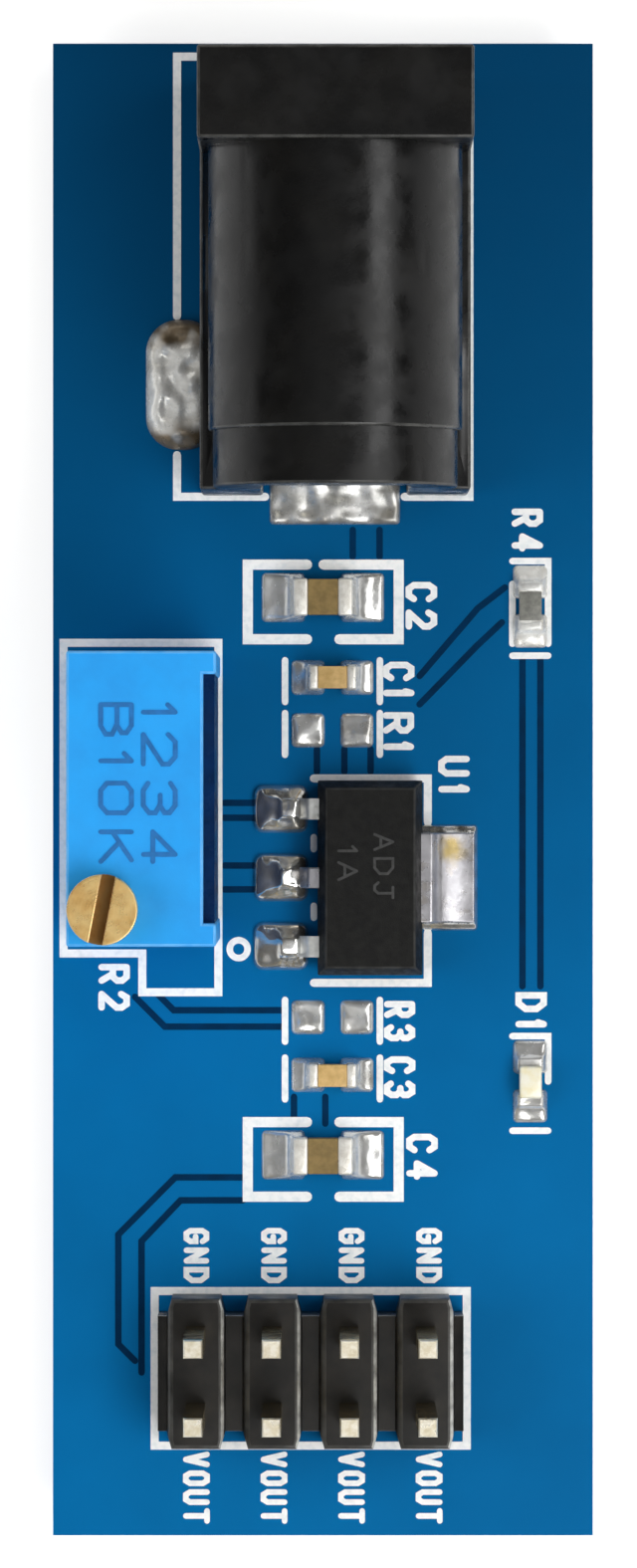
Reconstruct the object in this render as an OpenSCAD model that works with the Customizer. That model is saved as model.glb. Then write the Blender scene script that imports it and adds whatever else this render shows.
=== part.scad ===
// Adjustable voltage regulator module: a small circuit board that carries a
// power jack, a multi-turn trimmer, a tabbed regulator, chip parts and a pin header.
// +Y points to the jack's end of the board, +X to the regulator's tab and +Z up.
// The origin is under the middle of the board, where the soldered legs stand.

/* [Board] */
// Width of the board across the jack
board_w = 18.1; // [17.8:0.1:22]
// Length of the board from the jack's end to the header's end
board_l = 50; // [49.5:0.5:60]
// Thickness of the board
board_t = 1.6; // [1.2:0.1:2]
// How far the soldered legs stand out below the board
tail_len = 1.6; // [1.3:0.1:2.2]
// Thickness of the tinned lands on the board
land_t = 0.06; // [0.04:0.01:0.1]

/* [Power jack] */
// Sideways place of the jack's axis
jack_x = 0.4; // [-0.5:0.1:1]
// How far the jack's mouth lies behind the board's edge
jack_setback = 1.1; // [0.5:0.1:1.5]
// Width of the jack's moulding
jack_w = 8.9; // [8.7:0.1:9.4]
// Height of the square front block
jack_h = 11; // [10.8:0.1:12]
// Length of the jack from its mouth to its rear face
jack_l = 14.05; // [13.8:0.05:14.5]
// Depth of the square front block
block_l = 3; // [2:0.1:3.2]
// Height of the bore's axis above the board
jack_axis_h = 6.5; // [6.2:0.1:6.7]
// Outer radius of the barrel behind the block
barrel_r = 4.15; // [3.9:0.05:4.2]
// Height of the square shoulders beside the barrel
shoulder_h = 5.2; // [4:0.1:6]
// Length of the slimmer stretch at the barrel's rear end
rear_step_l = 1.85; // [1.5:0.05:2.5]
// How much less the barrel's radius is on that stretch
rear_step = 0.15; // [0.1:0.05:0.3]
// Height of the feet under the moulding
jack_foot_h = 0.2; // [0.15:0.05:0.3]
// Radius of the bore that takes the plug
bore_r = 3.2; // [2.9:0.05:3.3]
// Depth of the bore
bore_l = 10; // [9.6:0.1:10.4]
// Width of the lead-in round the bore's mouth
mouth_bevel = 0.35; // [0.2:0.05:0.5]
// Radius of the centre pin
centre_pin_r = 1.05; // [0.9:0.05:1.3]
// How far the centre pin's tip lies behind the mouth
centre_pin_in = 0.8; // [0.5:0.1:2]
// Radius of the centre pin's riveted tail
rivet_r = 0.6; // [0.5:0.05:0.7]
// Width of the legs that pass through the board
leg_w = 2.4; // [2:0.1:2.6]
// Thickness of the rear terminal
rear_leg_t = 0.4; // [0.3:0.05:0.5]
// Thickness of the sleeve spring and the switch terminal
spring_t = 0.3; // [0.2:0.05:0.4]
// Depth of the recess for the rear terminal
rear_recess_l = 1; // [0.9:0.05:1.2]
// Distance from the mouth to the sleeve spring's leg
spring_leg_in = 7.9; // [7.4:0.1:8.2]
// Distance from the mouth to the switch terminal's leg
switch_leg_in = 10.34; // [10.2:0.02:10.8]
// Distance of the switch terminal's leg outside the moulding
switch_leg_out = 0.68; // [0.6:0.02:0.9]
// Height above the board at which the switch terminal leaves the moulding
switch_exit_h = 0.45; // [0.4:0.05:0.6]
// Length of the slots in the board for the legs
slot_l = 3; // [2.8:0.1:3.4]
// Width of the slots in the board for the legs
slot_w = 1; // [0.8:0.05:1.2]

/* [Trimmer] */
// Distance of the trimmer's case from the board's edge
trim_edge = 0.775; // [0.5:0.025:0.9]
// Lengthwise place of the trimmer's middle
trim_y = -0.29; // [-0.6:0.01:0]
// Width of the trimmer
trim_w = 4.83; // [4.7:0.01:5]
// Length of the trimmer
trim_l = 9.53; // [9.4:0.01:9.8]
// Height of the trimmer's case above the board
trim_h = 10; // [9.8:0.05:10.6]
// Width of the corner posts beside the potted side
post_l = 0.75; // [0.65:0.05:0.85]
// Depth of the roof's edge behind the corner posts on the potted side
potted_in = 0.42; // [0.2:0.01:0.5]
// Depth of the potting's face behind the corner posts
potting_in = 0.06; // [0.04:0.01:0.15]
// Thickness of the case's closed broad wall
case_wall = 0.6; // [0.45:0.05:0.65]
// Thickness of the case's roof
roof_t = 0.8; // [0.7:0.05:1]
// Thickness of the case's floor
floor_t = 0.5; // [0.4:0.05:0.7]
// Height of the case's feet
trim_foot_h = 0.3; // [0.2:0.05:0.4]
// Distance of the screw's axis from the closed wall's outside
screw_in_x = 1.18; // [1.16:0.01:1.24]
// Distance of the screw's axis from the end of the case
screw_in_y = 1.2; // [1.16:0.01:1.24]
// Radius of the screw's head
head_r = 1.14; // [1:0.02:1.14]
// Height of the screw's head
head_h = 0.95; // [0.8:0.05:1.2]
// Width of the screwdriver slot
head_slot_w = 0.44; // [0.4:0.02:0.6]
// Turn of the screwdriver slot in degrees when the screw is at rest
head_slot_turn = -11; // [-90:1:90]
// Depth of the screwdriver slot
head_slot_d = 0.55; // [0.4:0.05:0.6]
// Radius of the screw's shank
shank_r = 0.6; // [0.55:0.01:0.62]
// Mean radius of the worm thread
worm_r = 0.62; // [0.6:0.01:0.63]
// Height of the worm's thread above and below its mean radius
worm_rise = 0.16; // [0.13:0.01:0.17]
// Pitch of the worm thread
worm_pitch = 0.6; // [0.58:0.01:0.61]
// Height of the worm wheel's axis above the board
wheel_h = 5.2; // [5:0.05:5.3]
// Thickness of the worm wheel
wheel_t = 0.6; // [0.5:0.02:0.62]
// Rise of the wheel's teeth above and below their middle
tooth_rise = 0.12; // [0.1:0.01:0.13]
// Radius of the stub that the wheel turns on
stub_r = 0.5; // [0.4:0.05:0.6]
// Thickness of the ceramic plate with the resistive track
element_t = 0.5; // [0.45:0.01:0.52]
// Radius of the trimmer's pins
trim_pin_r = 0.25; // [0.2:0.01:0.28]
// Spacing of the trimmer's pins
trim_pin_pitch = 2.54; // [2.5:0.01:2.56]
// Running clearance of the trimmer's turning pieces
run_gap = 0.03; // [0.02:0.005:0.05]

/* [Regulator] */
// Sideways place of the regulator's middle
reg_x = 1.575; // [1.4:0.025:1.8]
// Lengthwise place of the regulator's middle
reg_y = -2.95; // [-3.1:0.05:-2.8]
// Width of the regulator's body
reg_w = 3.5; // [3.3:0.05:3.7]
// Length of the regulator's body
reg_l = 6.5; // [6.3:0.05:6.7]
// Height of the regulator's body above the board
reg_h = 1.7; // [1.5:0.05:1.8]
// Gap under the regulator's body
reg_lift = 0.08; // [0.07:0.01:0.12]
// Draft of the body's walls from the parting line to the top
reg_draft = 0.25; // [0.1:0.05:0.3]
// Distance between the tips of the leads and the tab
lead_span = 7; // [6.8:0.05:7.2]
// Spacing of the leads
lead_pitch = 2.3; // [2.2:0.05:2.4]
// Width of a lead
lead_w = 0.7; // [0.6:0.05:0.8]
// Thickness of the leads and the tab
lead_t = 0.28; // [0.22:0.02:0.32]
// Width of the tab
tab_w = 3; // [2.8:0.1:3.2]

/* [Chip parts] */
// Sideways place of the row of small chip parts
small_row_x = 0.32; // [0:0.02:0.6]
// Sideways place of the two large capacitors
large_row_x = 0; // [-0.3:0.05:0.3]
// Distance of the resistor's and the lamp's middle from the board's edge
edge_row_in = 2.1; // [1.6:0.05:2.3]
// Share of the input side's free length between the jack and the large capacitor
share_jack = 0.35; // [0.25:0.01:0.4]
// Share of the input side's free length between the two capacitors
share_input_caps = 0.277; // [0.2:0.001:0.3]
// Share of the input side's free length between the small capacitor and the empty lands
share_input_spare = 0.134; // [0.1:0.001:0.2]
// Share of the output side's free length between the regulator and the empty lands
share_output_spare = 0.127; // [0.1:0.001:0.2]
// Share of the output side's free length between the empty lands and the small capacitor
share_output_cap = 0.116; // [0.08:0.001:0.2]
// Share of the output side's free length between the two capacitors
share_output_caps = 0.19; // [0.1:0.01:0.25]
// How far the lamp's series resistor lies nearer the middle than the large capacitor
res_drop = 0.3; // [0:0.05:1]
// How far the lamp lies nearer the header than the small capacitor
lamp_drop = 0.22; // [0:0.02:1]
// Length of a small chip part
small_l = 1.6; // [1.5:0.05:1.7]
// Width of a small chip part
small_w = 0.8; // [0.75:0.05:0.9]
// Height of a small capacitor
small_cap_h = 0.8; // [0.7:0.05:0.9]
// Length of a large capacitor
large_l = 2; // [1.9:0.05:2.2]
// Width of a large capacitor
large_w = 1.25; // [1.1:0.05:1.4]
// Height of a large capacitor
large_cap_h = 0.95; // [0.8:0.05:1.2]
// Length of a large capacitor's metal ends
large_end = 0.5; // [0.35:0.05:0.6]
// Length of a small part's metal ends
small_end = 0.32; // [0.25:0.01:0.4]
// How far the metal ends stand proud of the part's middle
end_proud = 0.03; // [0.02:0.01:0.05]
// Height of the resistor
res_h = 0.46; // [0.4:0.02:0.6]
// Thickness of the resistor's glaze
glaze_t = 0.05; // [0.03:0.01:0.08]
// Length of the lamp's metal ends
lamp_end = 0.22; // [0.18:0.02:0.4]
// Thickness of the lamp's base
lamp_base_t = 0.3; // [0.25:0.05:0.4]
// Height of the lamp's lens above its base
lens_h = 0.4; // [0.3:0.05:0.6]

/* [Pin header] */
// Sideways place of the header's middle
header_x = -0.41; // [-0.8:0.01:0.4]
// Distance of the header's middle from the board's end
header_edge = 5.6; // [5:0.1:5.8]
// Spacing of the pins
pin_pitch = 2.54; // [2.5:0.01:2.54]
// Width of the header's body across its two rows
header_w = 5; // [4.9:0.02:5.1]
// Height of the header's body
header_h = 2.5; // [2.3:0.05:2.7]
// Width of the corner cut on each segment
segment_cut_x = 0.46; // [0.3:0.02:0.6]
// Depth of the corner cut on each segment
segment_cut_y = 0.58; // [0.3:0.02:0.6]
// Half width of the web that joins two segments
web_half_w = 0.3; // [0.2:0.02:0.4]
// Half width of the groove between two segments
groove_half_w = 0.38; // [0.3:0.01:0.4]
// Half width of the groove's floor
groove_floor_half_w = 0.27; // [0.15:0.01:0.28]
// Depth of the groove between two segments
groove_d = 0.35; // [0.2:0.05:0.5]
// Side of a square pin
pin_w = 0.64; // [0.5:0.02:0.66]
// Height of the pin tips above the board
pin_top_h = 8.5; // [7.5:0.1:9]
// Length of a pin's tapered end
pin_taper_l = 0.25; // [0.15:0.05:0.7]
// Width of a pin's flat tip as a share of its side
pin_tip_share = 0.8; // [0.5:0.05:0.9]
// Radius of the board's holes for the pins
pin_hole_r = 0.52; // [0.5:0.01:0.6]

/* [Solder] */
// Inner end of a small part's land from its middle
small_land_in = 0.26; // [0.2:0.02:0.4]
// Outer end of a small part's land from its middle
small_land_out = 1.38; // [1.3:0.02:1.42]
// Width of a small part's land
small_land_w = 1.15; // [1:0.05:1.2]
// Inner end of a large capacitor's land from its middle
large_land_in = 0.6; // [0.5:0.05:0.7]
// Outer end of a large capacitor's land from its middle
large_land_out = 2.05; // [1.9:0.05:2.1]
// Width of a large capacitor's land
large_land_w = 1.65; // [1.5:0.05:1.7]
// Rise of the solder at a small part's ends
small_fillet = 0.42; // [0.3:0.02:0.46]
// Rise of the solder at a large capacitor's ends
large_fillet = 0.75; // [0.5:0.05:0.8]
// Height of the solder left on the empty lands
spare_dome_h = 0.18; // [0.1:0.02:0.25]
// Radius of the round lands under the board
round_land_r = 0.85; // [0.75:0.05:1]
// Height of the solder cones under the board
cone_h = 0.9; // [0.7:0.05:1]
// Length of the oval lands of the jack
oval_l = 4.37; // [4.2:0.05:4.6]
// Width of the oval lands of the jack
oval_w = 2.4; // [2:0.1:2.6]
// Height of the solder mounds on the oval lands
mound_h = 0.75; // [0.5:0.05:0.9]

/* [Hidden] */
$fn = 48;
// How far a cut runs past the face it opens
past = 0.5;
under_z = tail_len;
top_z = under_z + board_t;
land_z = top_z + land_t;

// Jack: heights are above the board, depths are behind the mouth
jack_front = board_l / 2 - jack_setback;
jack_rear = jack_front - jack_l;
jack_left = jack_x - jack_w / 2;
leg_bottom = -(board_t + tail_len);
bore_floor = jack_axis_h - bore_r;
rear_plate_side = 0.8;
rear_plate_over = 1.3;
rear_recess_gap = 0.4;
rear_plate_w = leg_w + 2 * rear_plate_side;
rear_plate_top = jack_axis_h + rear_plate_over;
rear_recess_w = rear_plate_w + 2 * rear_recess_gap;
rear_recess_h = rear_plate_top + 1.5 * rear_recess_gap;
rear_plate_in = jack_l - rear_recess_l;
rear_neck = 0.3;
rivet_over = 0.4;
rivet_head_r = rivet_r + rivet_over;
rivet_head_t = 0.35;
pin_tip_l = 0.35;
pin_tip_in = 0.3;
pin_tip_r = centre_pin_r - pin_tip_in;
rear_leg_y = jack_front - rear_plate_in - rear_leg_t / 2;
spring_leg_y = jack_front - spring_leg_in;
switch_leg_x = jack_left - switch_leg_out;
switch_leg_y = jack_front - switch_leg_in;
spring_slim = 0.2;
spring_w = leg_w - spring_slim;
bend_l = 0.7;
spring_drop = 1.8;
spring_root_h = bore_floor - spring_drop;
crest_in = 4.7;
tip_in = 3.8;
spring_rise = 0.45;
leaf_low = [-(spring_leg_in - bend_l), spring_root_h + bend_l];
leaf_crest = [-crest_in, bore_floor + spring_rise];
leaf_slope = (leaf_crest.y - leaf_low.y) / (leaf_crest.x - leaf_low.x);
contact_gap = 0.02;
finger_past = 0.2;
finger_in = spring_leg_in - bend_l - finger_past;
finger_l = 0.7;
finger_top = leaf_low.y - leaf_slope * (finger_in + leaf_low.x)
    - spring_t / 2 * sqrt(1 + leaf_slope * leaf_slope) - contact_gap;
arm_gap = 0.15;
arm_x = spring_w / 2 + arm_gap;
arm_w = 0.7;
cavity_gap = 0.3;
switch_wall = 0.9;
switch_step_x = jack_w / 2 - switch_wall;
window_over = 0.8;
foot_l = 1;

// Trimmer: its own corner is at zero, with the closed wall along Y
trim_x = -board_w / 2 + trim_edge + trim_w / 2;
trim_inner_l = trim_l - 2 * post_l;
pin_row_x = trim_w / 2;
element_x = pin_row_x - trim_pin_r - element_t;
cavity_bottom = trim_foot_h + floor_t;
cavity_top = trim_h - roof_t;
shank_hole_r = shank_r + run_gap;
ring_r = 0.17;
ring_mid_r = shank_hole_r + ring_r;
ring_seat_d = 2 * ring_r;
worm_turns = 4;
worm_l = worm_turns * worm_pitch;
journal_step = 0.04;
journal_r = worm_r - worm_rise - journal_step;
worm_room = 0.07;
worm_pocket_r = worm_r + worm_rise + worm_room;
element_y = screw_in_y + worm_pocket_r + worm_room;
element_l = trim_l - post_l - element_y;
pot_x = pin_row_x - trim_pin_r;
wheel_teeth = 33;
wheel_pitch_r = wheel_teeth * worm_pitch / (2 * PI);
mesh_gap = 0.03;
wheel_mid_r = wheel_pitch_r - mesh_gap - (worm_rise - tooth_rise);
wheel_y = screw_in_y + worm_r + wheel_pitch_r;
tooth_points = 8;
wheel_left = screw_in_x - wheel_t / 2;
wheel_right = screw_in_x + wheel_t / 2;
wiper_bump_h = 0.05;
wiper_gap = 0.015;
wiper_t = element_x - wheel_right - wiper_bump_h - wiper_gap;
wiper_w = 0.9;
wiper_r = 2.3;
stub_flange = 0.4;
trim_foot_l = 1.2;
pin_in_case = 2.6;

// Regulator: heights are above the board
lead_up = 0.05;
lead_level = reg_h / 2 + lead_up;
lead_in_body = 0.5;
lead_flat = 0.25;
lead_bend = 0.6;
foot_z = land_t + lead_t / 2;
lead_path = [
    [reg_w / 2 - lead_in_body, lead_level],
    [reg_w / 2 + lead_flat, lead_level],
    [reg_w / 2 + lead_bend, foot_z],
    [lead_span / 2, foot_z]
];
lead_land_l = 1.84;
lead_land_w = 1.6;
lead_land_past = 0.4;
tab_land_side = 0.275;
tab_land_w = tab_w + 2 * tab_land_side;
tab_land_past = 0.1;
lead_fillet = lead_t;

// Header
header_cols = 4;
header_y = -board_l / 2 + header_edge;
pin_solder_t = 0.12;
leg_solder_t = 0.06;

// Rows of chip parts: the free length on each side of the regulator is shared out between them
rear_land_in = 1;
rear_land_out = 1.77;
rear_fillet = 0.9;
rear_fillet_side = 0.5;
mound_in = 0.05;
lens_slope = 0.06;
edge_row_x = board_w / 2 - edge_row_in;
input_free = rear_leg_y - rear_land_out - (reg_y + reg_l / 2) - large_land_w - 2 * small_land_w;
cap_2_y = rear_leg_y - rear_land_out - share_jack * input_free - large_land_w / 2;
cap_1_y = cap_2_y - large_land_w / 2 - share_input_caps * input_free - small_land_w / 2;
spare_1_y = cap_1_y - share_input_spare * input_free - small_land_w;
output_free = reg_y - reg_l / 2 - (header_y + header_w / 2) - large_land_w - 2 * small_land_w;
spare_3_y = reg_y - reg_l / 2 - share_output_spare * output_free - small_land_w / 2;
cap_3_y = spare_3_y - share_output_cap * output_free - small_land_w;
cap_4_y = cap_3_y - small_land_w / 2 - share_output_caps * output_free - large_land_w / 2;
res_y = cap_2_y - res_drop;
lamp_y = cap_3_y - lamp_drop;

// Small parts: the wide end of each land lies under the part's metal end
cap_small = [small_l, small_w, small_cap_h, small_end];
cap_large = [large_l, large_w, large_cap_h, large_end];

// Profile drawn across X and up Z, extruded backwards between two depths
module lay_back(from, to) {
    translate([0, -from, 0]) rotate([90, 0, 0]) linear_extrude(to - from) children();
}

// Profile drawn across X and up Z, extruded along Y about its middle
module along_y(length) {
    rotate([90, 0, 0]) linear_extrude(length, center = true) children();
}

// Profile drawn along Y and up Z, extruded along X about its middle
module along_x(length) {
    rotate([90, 0, 90]) linear_extrude(length, center = true) children();
}

// Edge view of a folded metal strip that follows a line of points
module strip_profile(points, thickness) {
    for (i = [0 : len(points) - 2]) {
        step = points[i + 1] - points[i];
        translate(points[i]) rotate(atan2(step.y, step.x))
            translate([0, -thickness / 2]) square([norm(step), thickness]);
    }
    for (i = [1 : len(points) - 2])
        translate(points[i]) circle(thickness / 2);
}

// Outline with round ends, lying along X
module oval(length, width) {
    square([length - width, width], center = true);
    for (side = [-1, 1])
        translate([side * (length - width) / 2, 0]) circle(width / 2);
}

// Low mound of solder with round ends, lying along X on z = 0
module oval_mound(length, width, height) {
    mound_r = (width * width / 4 + height * height) / (2 * height);
    module arc() {
        intersection() {
            translate([0, height - mound_r]) circle(mound_r, $fn = 64);
            square([width / 2, height]);
        }
    }
    for (side = [-1, 1])
        translate([side * (length - width) / 2, 0, 0]) rotate_extrude() arc();
    rotate([90, 0, 90]) linear_extrude(length - width, center = true) {
        arc();
        mirror([1, 0]) arc();
    }
}

// Hollow solder fillet in a corner: it rises at x = 0 and runs out along X
module fillet_profile(size) {
    difference() {
        square(size);
        translate([size, size]) circle(size);
    }
}

// Places of the groups of pieces
module at_jack() {
    translate([jack_x, jack_front, top_z]) children();
}

module at_trimmer() {
    translate([trim_x - trim_w / 2, trim_y - trim_l / 2, top_z]) children();
}

module at_regulator() {
    translate([reg_x, reg_y, top_z]) children();
}

module at_header_pin(index) {
    column = (index - 1) % header_cols;
    row = floor((index - 1) / header_cols);
    translate([
        header_x + (column - (header_cols - 1) / 2) * pin_pitch,
        header_y + (0.5 - row) * pin_pitch,
        0
    ]) children();
}

module at_trimmer_pin(index) {
    translate([trim_x, trim_y + (index - 2) * trim_pin_pitch, 0]) children();
}

module at_edge_part(y) {
    translate([edge_row_x, y, 0]) rotate([0, 0, 90]) children();
}

// Slots for the jack's three legs, in order rear, sleeve and switch
module at_jack_slot(index) {
    if (index == 1) translate([jack_x, rear_leg_y, 0]) children();
    if (index == 2) translate([jack_x, spring_leg_y, 0]) children();
    if (index == 3) translate([switch_leg_x, switch_leg_y, 0]) rotate([0, 0, 90]) children();
}

// Room in the solder for the rear terminal's and the sleeve spring's legs
module jack_leg_cut(index) {
    leg = index == 1 ? [leg_w, rear_leg_t] : [spring_w, spring_t];
    translate([-leg.x / 2, -leg.y / 2, -past]) cube([leg.x, leg.y, top_z + mound_h + 2 * past]);
}

module board() {
    color("#0a5fa0") difference() {
        translate([-board_w / 2, -board_l / 2, under_z]) cube([board_w, board_l, board_t]);
        for (index = [1 : 3])
            at_jack_slot(index) translate([0, 0, under_z - past])
                linear_extrude(board_t + 2 * past) oval(slot_l, slot_w);
        for (index = [1 : 2 * header_cols])
            at_header_pin(index) translate([0, 0, under_z - past])
                cylinder(r = pin_hole_r, h = board_t + 2 * past);
        for (index = [1 : 3])
            at_trimmer_pin(index) translate([0, 0, under_z - past])
                cylinder(r = pin_hole_r, h = board_t + 2 * past);
    }
}

// Cross-section of the jack behind its block: square shoulders and a round barrel
module jack_section(radius) {
    translate([-jack_w / 2, jack_foot_h]) square([jack_w, shoulder_h - jack_foot_h]);
    translate([0, jack_axis_h]) circle(radius, $fn = 96);
}

// Room under the bore for the sleeve spring and the switch terminal
module jack_cavity() {
    room_h = finger_top + cavity_gap + past;
    back = switch_leg_in + leg_w / 2 + cavity_gap;
    front = tip_in - cavity_gap - spring_t;
    left = arm_x + arm_w + cavity_gap;
    translate([-left, -back, -past]) cube([left + spring_w / 2 + cavity_gap, back - front, room_h]);
    step = switch_step_x + spring_t / 2 + cavity_gap;
    translate([-step, -back, -past]) cube([step - left + cavity_gap, leg_w + 2 * cavity_gap, room_h]);
    translate([-jack_w / 2 - past, -back, -past])
        cube([jack_w / 2, leg_w + 2 * cavity_gap, past + switch_exit_h + spring_t / 2 + cavity_gap]);
    window_back = spring_leg_in + spring_t / 2 + cavity_gap;
    translate([-spring_w / 2 - cavity_gap, -window_back, -past])
        cube([spring_w + 2 * cavity_gap, window_back - front, past + bore_floor + window_over]);
}

module jack_housing() {
    color("#1c1c1d") at_jack() difference() {
        union() {
            translate([-jack_w / 2, -block_l, jack_foot_h])
                cube([jack_w, block_l, jack_h - jack_foot_h]);
            lay_back(block_l, jack_l - rear_step_l) jack_section(barrel_r);
            lay_back(jack_l - rear_step_l, jack_l) jack_section(barrel_r - rear_step);
            for (x = [-jack_w / 2, jack_w / 2 - foot_l], y = [-foot_l, -jack_l])
                translate([x, y, 0]) cube([foot_l, foot_l, jack_foot_h]);
        }
        translate([0, past, jack_axis_h]) rotate([90, 0, 0])
            cylinder(r = bore_r, h = bore_l + past, $fn = 96);
        translate([0, 0, jack_axis_h]) rotate([90, 0, 0])
            cylinder(r1 = bore_r + mouth_bevel, r2 = bore_r, h = mouth_bevel, $fn = 96);
        translate([0, -bore_l, jack_axis_h]) rotate([90, 0, 0]) cylinder(r = rivet_r, h = jack_l);
        translate([-rear_recess_w / 2, -jack_l - past, -past])
            cube([rear_recess_w, rear_recess_l + past, rear_recess_h + past]);
        jack_cavity();
    }
}

module jack_centre_pin() {
    color("#c9c4b4") at_jack() translate([0, 0, jack_axis_h]) rotate([90, 0, 0]) {
        translate([0, 0, centre_pin_in]) cylinder(r1 = pin_tip_r, r2 = centre_pin_r, h = pin_tip_l);
        translate([0, 0, centre_pin_in + pin_tip_l])
            cylinder(r = centre_pin_r, h = bore_l - centre_pin_in - pin_tip_l);
        translate([0, 0, bore_l]) cylinder(r = rivet_r, h = rear_plate_in + rear_leg_t - bore_l);
        translate([0, 0, rear_plate_in + rear_leg_t]) cylinder(r = rivet_head_r, h = rivet_head_t);
    }
}

module jack_rear_terminal() {
    neck = jack_foot_h + rear_neck;
    color("#c8c8c4") at_jack() difference() {
        lay_back(rear_plate_in, rear_plate_in + rear_leg_t) {
            translate([-leg_w / 2, leg_bottom]) square([leg_w, neck - leg_bottom]);
            translate([-rear_plate_w / 2, neck]) square([rear_plate_w, rear_plate_top - neck]);
        }
        translate([0, -bore_l, jack_axis_h]) rotate([90, 0, 0]) cylinder(r = rivet_r, h = jack_l);
    }
}

module jack_sleeve_spring() {
    color("#c8c8c4") at_jack() along_x(spring_w) strip_profile([
        [-spring_leg_in, leg_bottom],
        [-spring_leg_in, spring_root_h],
        leaf_low,
        leaf_crest,
        [-tip_in, bore_floor]
    ], spring_t);
}

// Folded plate that steps down to a leg outside the moulding, with a finger under the spring
module jack_switch_terminal() {
    leg_x = -jack_w / 2 - switch_leg_out;
    root = -switch_leg_in - leg_w / 2;
    finger = -finger_in;
    plate_z = finger_top - spring_t / 2;
    color("#c8c8c4") at_jack() {
        translate([0, 0, finger_top - spring_t]) linear_extrude(spring_t) {
            translate([-arm_x - arm_w, root]) square([arm_w, finger + finger_l - root]);
            translate([-arm_x - arm_w, finger]) square([arm_x + arm_w - spring_w / 4, finger_l]);
        }
        translate([0, -switch_leg_in, 0]) along_y(leg_w) strip_profile([
            [-arm_x - arm_w / 2, plate_z],
            [-switch_step_x, plate_z],
            [-switch_step_x, switch_exit_h],
            [leg_x, switch_exit_h],
            [leg_x, leg_bottom]
        ], spring_t);
    }
}

module trimmer_case() {
    color("#2c97ee") at_trimmer() {
        difference() {
            cube([trim_w, trim_l, trim_h]);
            translate([trim_w - potted_in, post_l, -past])
                cube([potted_in + past, trim_inner_l, trim_h + 2 * past]);
            translate([case_wall, post_l, cavity_bottom])
                cube([element_x - case_wall, trim_inner_l, cavity_top - cavity_bottom]);
            translate([element_x, element_y, -past]) cube([trim_w, element_l, cavity_top + past]);
            translate([pot_x, post_l, -past]) cube([trim_w, trim_inner_l, cavity_top + past]);
            translate([-past, trim_foot_l, -past])
                cube([trim_w + 2 * past, trim_l - 2 * trim_foot_l, trim_foot_h + past]);
            translate([screw_in_x, screw_in_y, 0]) {
                translate([0, 0, cavity_bottom]) cylinder(r = worm_pocket_r, h = cavity_top - cavity_bottom);
                translate([0, 0, -past]) cylinder(r = journal_r + run_gap, h = cavity_bottom + 2 * past);
                cylinder(r = shank_hole_r, h = trim_h + past);
                translate([0, 0, trim_h - ring_seat_d])
                    cylinder(r = ring_mid_r + ring_r, h = ring_seat_d + past);
            }
        }
        translate([case_wall, wheel_y, wheel_h]) rotate([0, 90, 0]) {
            cylinder(r = stub_r, h = wheel_right - case_wall - run_gap);
            cylinder(r = stub_r + stub_flange, h = wheel_left - case_wall - run_gap);
        }
    }
}

module trimmer_potting() {
    color("#182848") difference() {
        at_trimmer() translate([pot_x, post_l, trim_foot_h])
            cube([trim_w - potting_in - pot_x, trim_inner_l, cavity_top - trim_foot_h]);
        for (index = [1 : 3])
            at_trimmer_pin(index) cylinder(r = trim_pin_r, h = top_z + pin_in_case);
    }
}

// Slotted head, shank, worm thread and the journal under it
module trimmer_screw() {
    worm_z = wheel_h - worm_l / 2;
    journal_z = trim_foot_h;
    head_z = trim_h + run_gap;
    color("#b98a3c") at_trimmer() translate([screw_in_x, screw_in_y, 0]) {
        difference() {
            translate([0, 0, head_z]) cylinder(r = head_r, h = head_h);
            rotate(head_slot_turn)
                translate([-head_slot_w / 2, -head_r - past, head_z + head_h - head_slot_d])
                    cube([head_slot_w, 2 * (head_r + past), head_slot_d + past]);
        }
        translate([0, 0, worm_z + worm_l]) cylinder(r = shank_r, h = head_z - worm_z - worm_l);
        translate([0, 0, worm_z])
            linear_extrude(worm_l, twist = -360 * worm_turns, slices = 12 * worm_turns)
                rotate(90 - 180 * worm_turns) translate([worm_rise, 0]) circle(worm_r, $fn = 18);
        translate([0, 0, journal_z]) cylinder(r = journal_r, h = worm_z - journal_z);
    }
}

module trimmer_seal_ring() {
    color("#202020") at_trimmer() translate([screw_in_x, screw_in_y, trim_h - ring_r])
        rotate_extrude() translate([ring_mid_r, 0]) circle(ring_r);
}

// Wheel that the worm turns; a tooth gap faces the worm's crest
module trimmer_worm_wheel() {
    count = wheel_teeth * tooth_points;
    function rim(turn) = wheel_mid_r - tooth_rise * cos(wheel_teeth * (turn - 180));
    color("#e8e4d8") at_trimmer() translate([screw_in_x, wheel_y, wheel_h]) along_x(wheel_t)
        difference() {
            polygon([for (i = [0 : count - 1])
                let (turn = 360 * i / count) rim(turn) * [cos(turn), sin(turn)]]);
            circle(stub_r + run_gap);
        }
}

// Sprung contact on the wheel's face, with a bump that runs on the track
module trimmer_wiper() {
    color("#d8b060") at_trimmer() translate([wheel_right, wheel_y, wheel_h]) rotate([90, 0, 90]) {
        linear_extrude(wiper_t) difference() {
            union() {
                circle(stub_r + wiper_w);
                translate([-wiper_w / 2, 0]) square([wiper_w, wiper_r]);
                translate([0, wiper_r]) circle(wiper_w / 2);
            }
            circle(stub_r + run_gap);
        }
        translate([0, wiper_r, wiper_t]) cylinder(r = wiper_w / 4, h = wiper_bump_h);
    }
}

module trimmer_element() {
    color("#f2efe6") at_trimmer() translate([element_x, element_y, trim_foot_h])
        cube([element_t, element_l, cavity_top - trim_foot_h]);
}

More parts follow.
